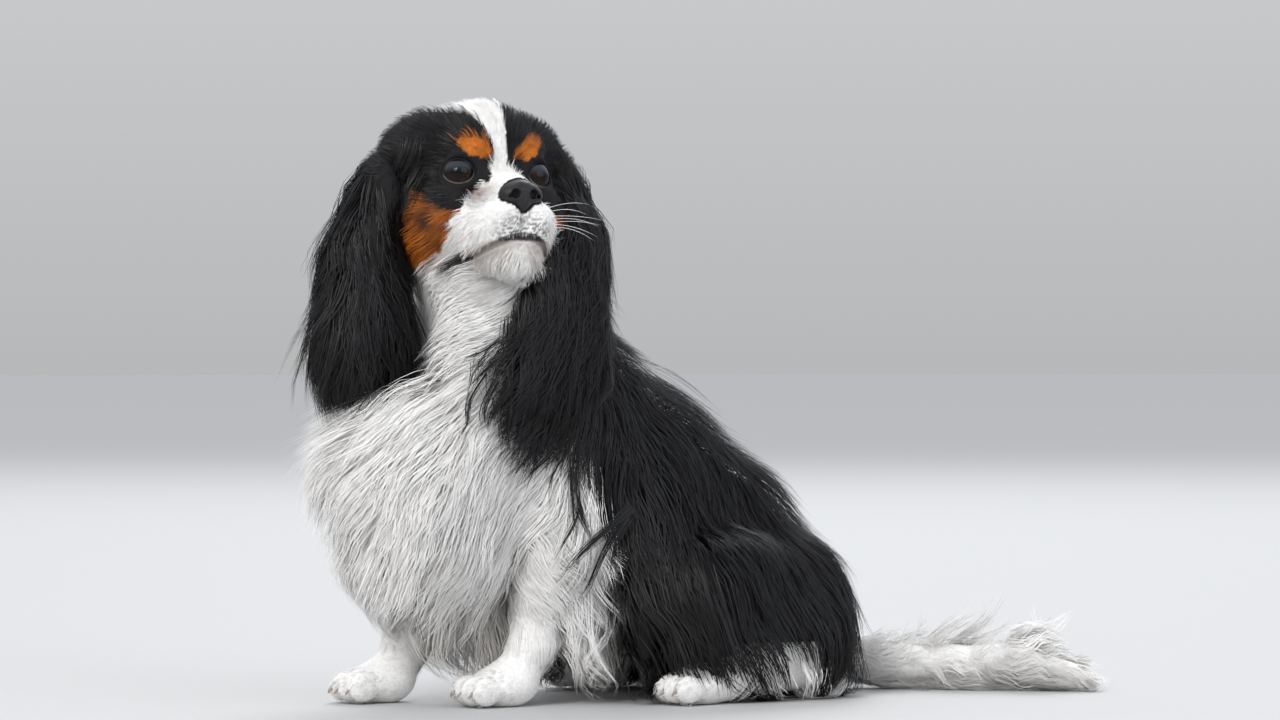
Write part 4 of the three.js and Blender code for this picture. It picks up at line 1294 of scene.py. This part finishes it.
def claws(name, at):
    vertices, faces = [], []
    around = [(k, (k + 1) % ROUND) for k in range(ROUND)]
    for n in TOES:
        x, y = toe_at(at, n)
        root = np.array([x, y - PAW["toe"], at[2] - 1.0])
        start = len(vertices)
        for i, (ahead, drop, size) in enumerate(CLAW_RINGS):
            for k in range(ROUND):
                turn = k * 2 * math.pi / ROUND
                vertices.append(root + [size * 0.7 * math.cos(turn), -ahead, drop + size * math.sin(turn)])
            if i:
                for a, b in (np.array(around) + start + (i - 1) * ROUND).tolist():
                    faces += [[a, b, b + ROUND], [a, b + ROUND, a + ROUND]]
        vertices += [root + CLAW_POINT, root + CLAW_ROOT]
        point = start + len(CLAW_RINGS) * ROUND
        for a, b in around:
            faces.append([point - ROUND + a, point - ROUND + b, point])
            faces.append([start + b, start + a, point + 1])
    points = np.array(vertices)
    points[:, 2] = np.maximum(points[:, 2], FLOOR_GAP)
    piece_of(f"claws_{name}", mesh_of(f"claws_{name}", points, faces), claw_mat)


for name, at in PAWS.items():
    claws(name, at)

# Eyes
def eye_material():
    material, tree, shader = material_of("eye", 0.05, Specular_IOR_Level=0.2)
    colour = add(tree, "ShaderNodeAttribute", attribute_name="coat")
    link(tree, colour, "Color", shader, "Base Color")
    return material


eye_mat = eye_material()
PUPIL, IRIS = np.array([0.0015, 0.0015, 0.0015]), np.array([0.011, 0.0035, 0.0015])
IRIS_EDGE = np.array([0.004, 0.003, 0.002])
# Colours of the painted reflection of the sky on the upper eye, and of the pale rim at the lower lid
SKY_REFLECTION, WET_RIM = np.array([0.03, 0.034, 0.046]), np.array([0.2, 0.17, 0.165])
for name, side in SIDES.items():
    aim = EYE_AIM * [side, 1, 1]
    at = EYE_AT * [side, 1, 1]
    up = np.array([0, 0, 1.0])
    across = np.cross(aim, up)
    rings, turns = 72, 96
    theta = np.linspace(0, np.pi, rings + 1)[1:-1]
    phi = np.linspace(0, 2 * np.pi, turns, endpoint=False)
    t, f = np.meshgrid(theta, phi, indexing="ij")
    bulge = EYE["radius"] - 0.1 + 0.7 * np.exp(-((t / 0.42) ** 2))
    parts = (np.cos(t), aim), (np.sin(t) * np.cos(f), across), (np.sin(t) * np.sin(f), up)
    ball = sum((part * bulge)[..., None] * way for part, way in parts).reshape(-1, 3)
    front = aim * (EYE["radius"] + 0.6)
    vertices = np.vstack([ball, front[None], -aim[None] * EYE["radius"]]) + at
    faces = []
    for r in range(len(theta) - 1):
        for s in range(turns):
            a, b = r * turns + s, r * turns + (s + 1) % turns
            faces += [[a, a + turns, b + turns], [a, b + turns, b]]
    for s in range(turns):
        faces.append([len(ball), s, (s + 1) % turns])
        last = (len(theta) - 1) * turns
        faces.append([len(ball) + 1, last + (s + 1) % turns, last + s])
    mesh = mesh_of(f"eye_{name}_ball", from_head(vertices), faces)
    angle = np.concatenate([t.ravel(), [0, np.pi]])
    colours = mix(PUPIL, IRIS, smooth(0.34, 0.46, angle)[:, None])
    colours = mix(colours, IRIS_EDGE, smooth(0.66, 0.82, angle)[:, None])
    # A painted reflection of the bright sky over the upper half, less of it near the top where the upper lid
    # shades it, and a thin wet rim along the lower lid
    _, share = eye_shape(vertices)
    high = (vertices[:, 2] - at[2]) / EYE["radius"]
    painted_reflection = smooth(-0.02, 0.35, high) * smooth(0.66, 0.5, high) * smooth(1.1, 0.8, angle)
    colours = mix(colours, SKY_REFLECTION, painted_reflection[:, None])
    wet = smooth(0.84, 0.93, share) * (angle < 1.4) * mix(0.25, 1.0, smooth(0.1, -0.2, high))
    colours = mix(colours, WET_RIM, wet[:, None])
    paint(mesh, "coat", colours)
    ball_piece = piece_of(f"eyeball_{name}", mesh, eye_mat)
    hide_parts(f"eye_{name}")

# Nose
def nose_field(q):
    """The leather with its two nostrils, each with a slit outwards, and the groove in its middle."""
    side = folded(q)
    d = nose_leather(q)
    hole = oval([6.6, -77, -27.6], [3.1, 6.0, 3.3])(side)
    slit = bone([8.7, -77, -28.6, 1.3], [12.8, -70, -29.4, 0.8])(side)
    d = cut(d, -hole, 1.2)
    d = cut(d, -slit, 1.0)
    middle = bone([0, -79.5, -24, 0.7], [0, -77.5, -41, 0.8])(q)
    return cut(d, -middle, 1.0)


nose_axes = [np.arange(-16, 17, 0.55), np.arange(-81, -55, 0.55), np.arange(-44, -14, 0.55)]
nose_points, nose_quads = netted(nose_field, nose_axes)
nose_points = settle(nose_points, nose_field, 0.3)
nose_mesh = mesh_of("nose_leather", from_head(nose_points), nose_quads)
nose_mat, tree, shader = material_of("nose", 0.36, Specular_IOR_Level=0.3)
place = add(tree, "ShaderNodeTexCoord")
cells = add(tree, "ShaderNodeTexVoronoi", Scale=900.0)
link(tree, place, "Object", cells, "Vector")
raised = add(tree, "ShaderNodeBump", Strength=0.5, Distance=0.0004)
link(tree, cells, "Distance", raised, "Height")
link(tree, raised, "Normal", shader, "Normal")
noise = add(tree, "ShaderNodeTexNoise", Scale=140.0)
link(tree, place, "Object", noise, "Vector")
ramp = add(tree, "ShaderNodeValToRGB")
ramp.color_ramp.elements[0].color = (0.006, 0.006, 0.007, 1)
ramp.color_ramp.elements[1].color = (0.026, 0.024, 0.026, 1)
link(tree, noise, "Fac", ramp, "Fac")
link(tree, ramp, "Color", shader, "Base Color")
nose = piece_of("nose_pad", nose_mesh, nose_mat)
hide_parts("nose")

# Floor, light and camera
FLOOR_HALF = 60000
FLOOR_CORNERS = np.array([[-1, -1, 0], [1, -1, 0], [1, 1, 0], [-1, 1, 0]])
floor_mesh = mesh_of("floor", FLOOR_HALF * FLOOR_CORNERS, [[0, 1, 2, 3]])
floor = placed("floor", floor_mesh)
floor_mesh.materials.append(material_of("floor", 0.7, Base_Color=(0.5, 0.5, 0.495, 1))[0])

world = bpy.data.worlds.new("studio")
bpy.context.scene.world = world
world.use_nodes = True
background = world.node_tree.nodes["Background"]
background.inputs["Strength"].default_value = 0.95
# Near the horizon the backdrop has the tone of the far floor
place = add(world.node_tree, "ShaderNodeTexCoord")
parts = add(world.node_tree, "ShaderNodeSeparateXYZ")
link(world.node_tree, place, "Generated", parts, "Vector")
sky = add(world.node_tree, "ShaderNodeValToRGB")
for stop, (at, colour) in enumerate(((0.0, (0.5, 0.505, 0.51, 1)), (0.35, (0.93, 0.95, 1.0, 1)))):
    sky.color_ramp.elements[stop].position = at
    sky.color_ramp.elements[stop].color = colour
link(world.node_tree, parts, "Z", sky, "Fac")
link(world.node_tree, sky, "Color", background, "Color")


# What the lamps point at, in metres
LIT = np.array([0, -0.1, 0.2])


def area_light(name, at, size, power, colour):
    lamp = bpy.data.lights.new(name, "AREA")
    lamp.shape = "DISK"
    lamp.size = size
    lamp.energy = power
    lamp.color = colour
    way = unit(np.array(at, float) - LIT)
    right = unit(np.cross([0, 0, 1.0], way))
    upward = np.cross(way, right)
    turned_to = np.vstack([np.column_stack([right, upward, way, at]), [0, 0, 0, 1]])
    placed(name, lamp).matrix_world = Matrix(turned_to.tolist())


area_light("key", at=(3.6, -5.6, 4.6), size=3.6, power=235, colour=(1, 0.985, 0.96))
area_light("eye_light", at=(3.2, -3.9, 4.8), size=1.2, power=60, colour=(0.96, 0.98, 1))
area_light("fill", at=(6.0, 2.2, 3.0), size=5.0, power=90, colour=(0.92, 0.96, 1))
area_light("back", at=(-3.6, 2.2, 4.4), size=3.6, power=150, colour=(0.95, 0.97, 1))

# The camera's place in metres: to the photograph's right, back from the dog, and up
CAMERA_RIGHT, CAMERA_BACK, CAMERA_HIGH = -0.10667, 3.057, 0.2314
camera_at = CAMERA_RIGHT * RIGHT + CAMERA_BACK * BACK + np.array([0, 0, CAMERA_HIGH])
camera_data = bpy.data.cameras.new("camera")
camera_data.lens = 122.5
camera_data.sensor_width = 36
camera = placed("camera", camera_data)
camera.matrix_world = Matrix([
    [RIGHT[0], 0, BACK[0], camera_at[0]],
    [RIGHT[1], 0, BACK[1], camera_at[1]],
    [0, 1, 0, camera_at[2]],
    [0, 0, 0, 1],
])
bpy.context.scene.camera = camera
bpy.context.scene.view_settings.view_transform = "Standard"
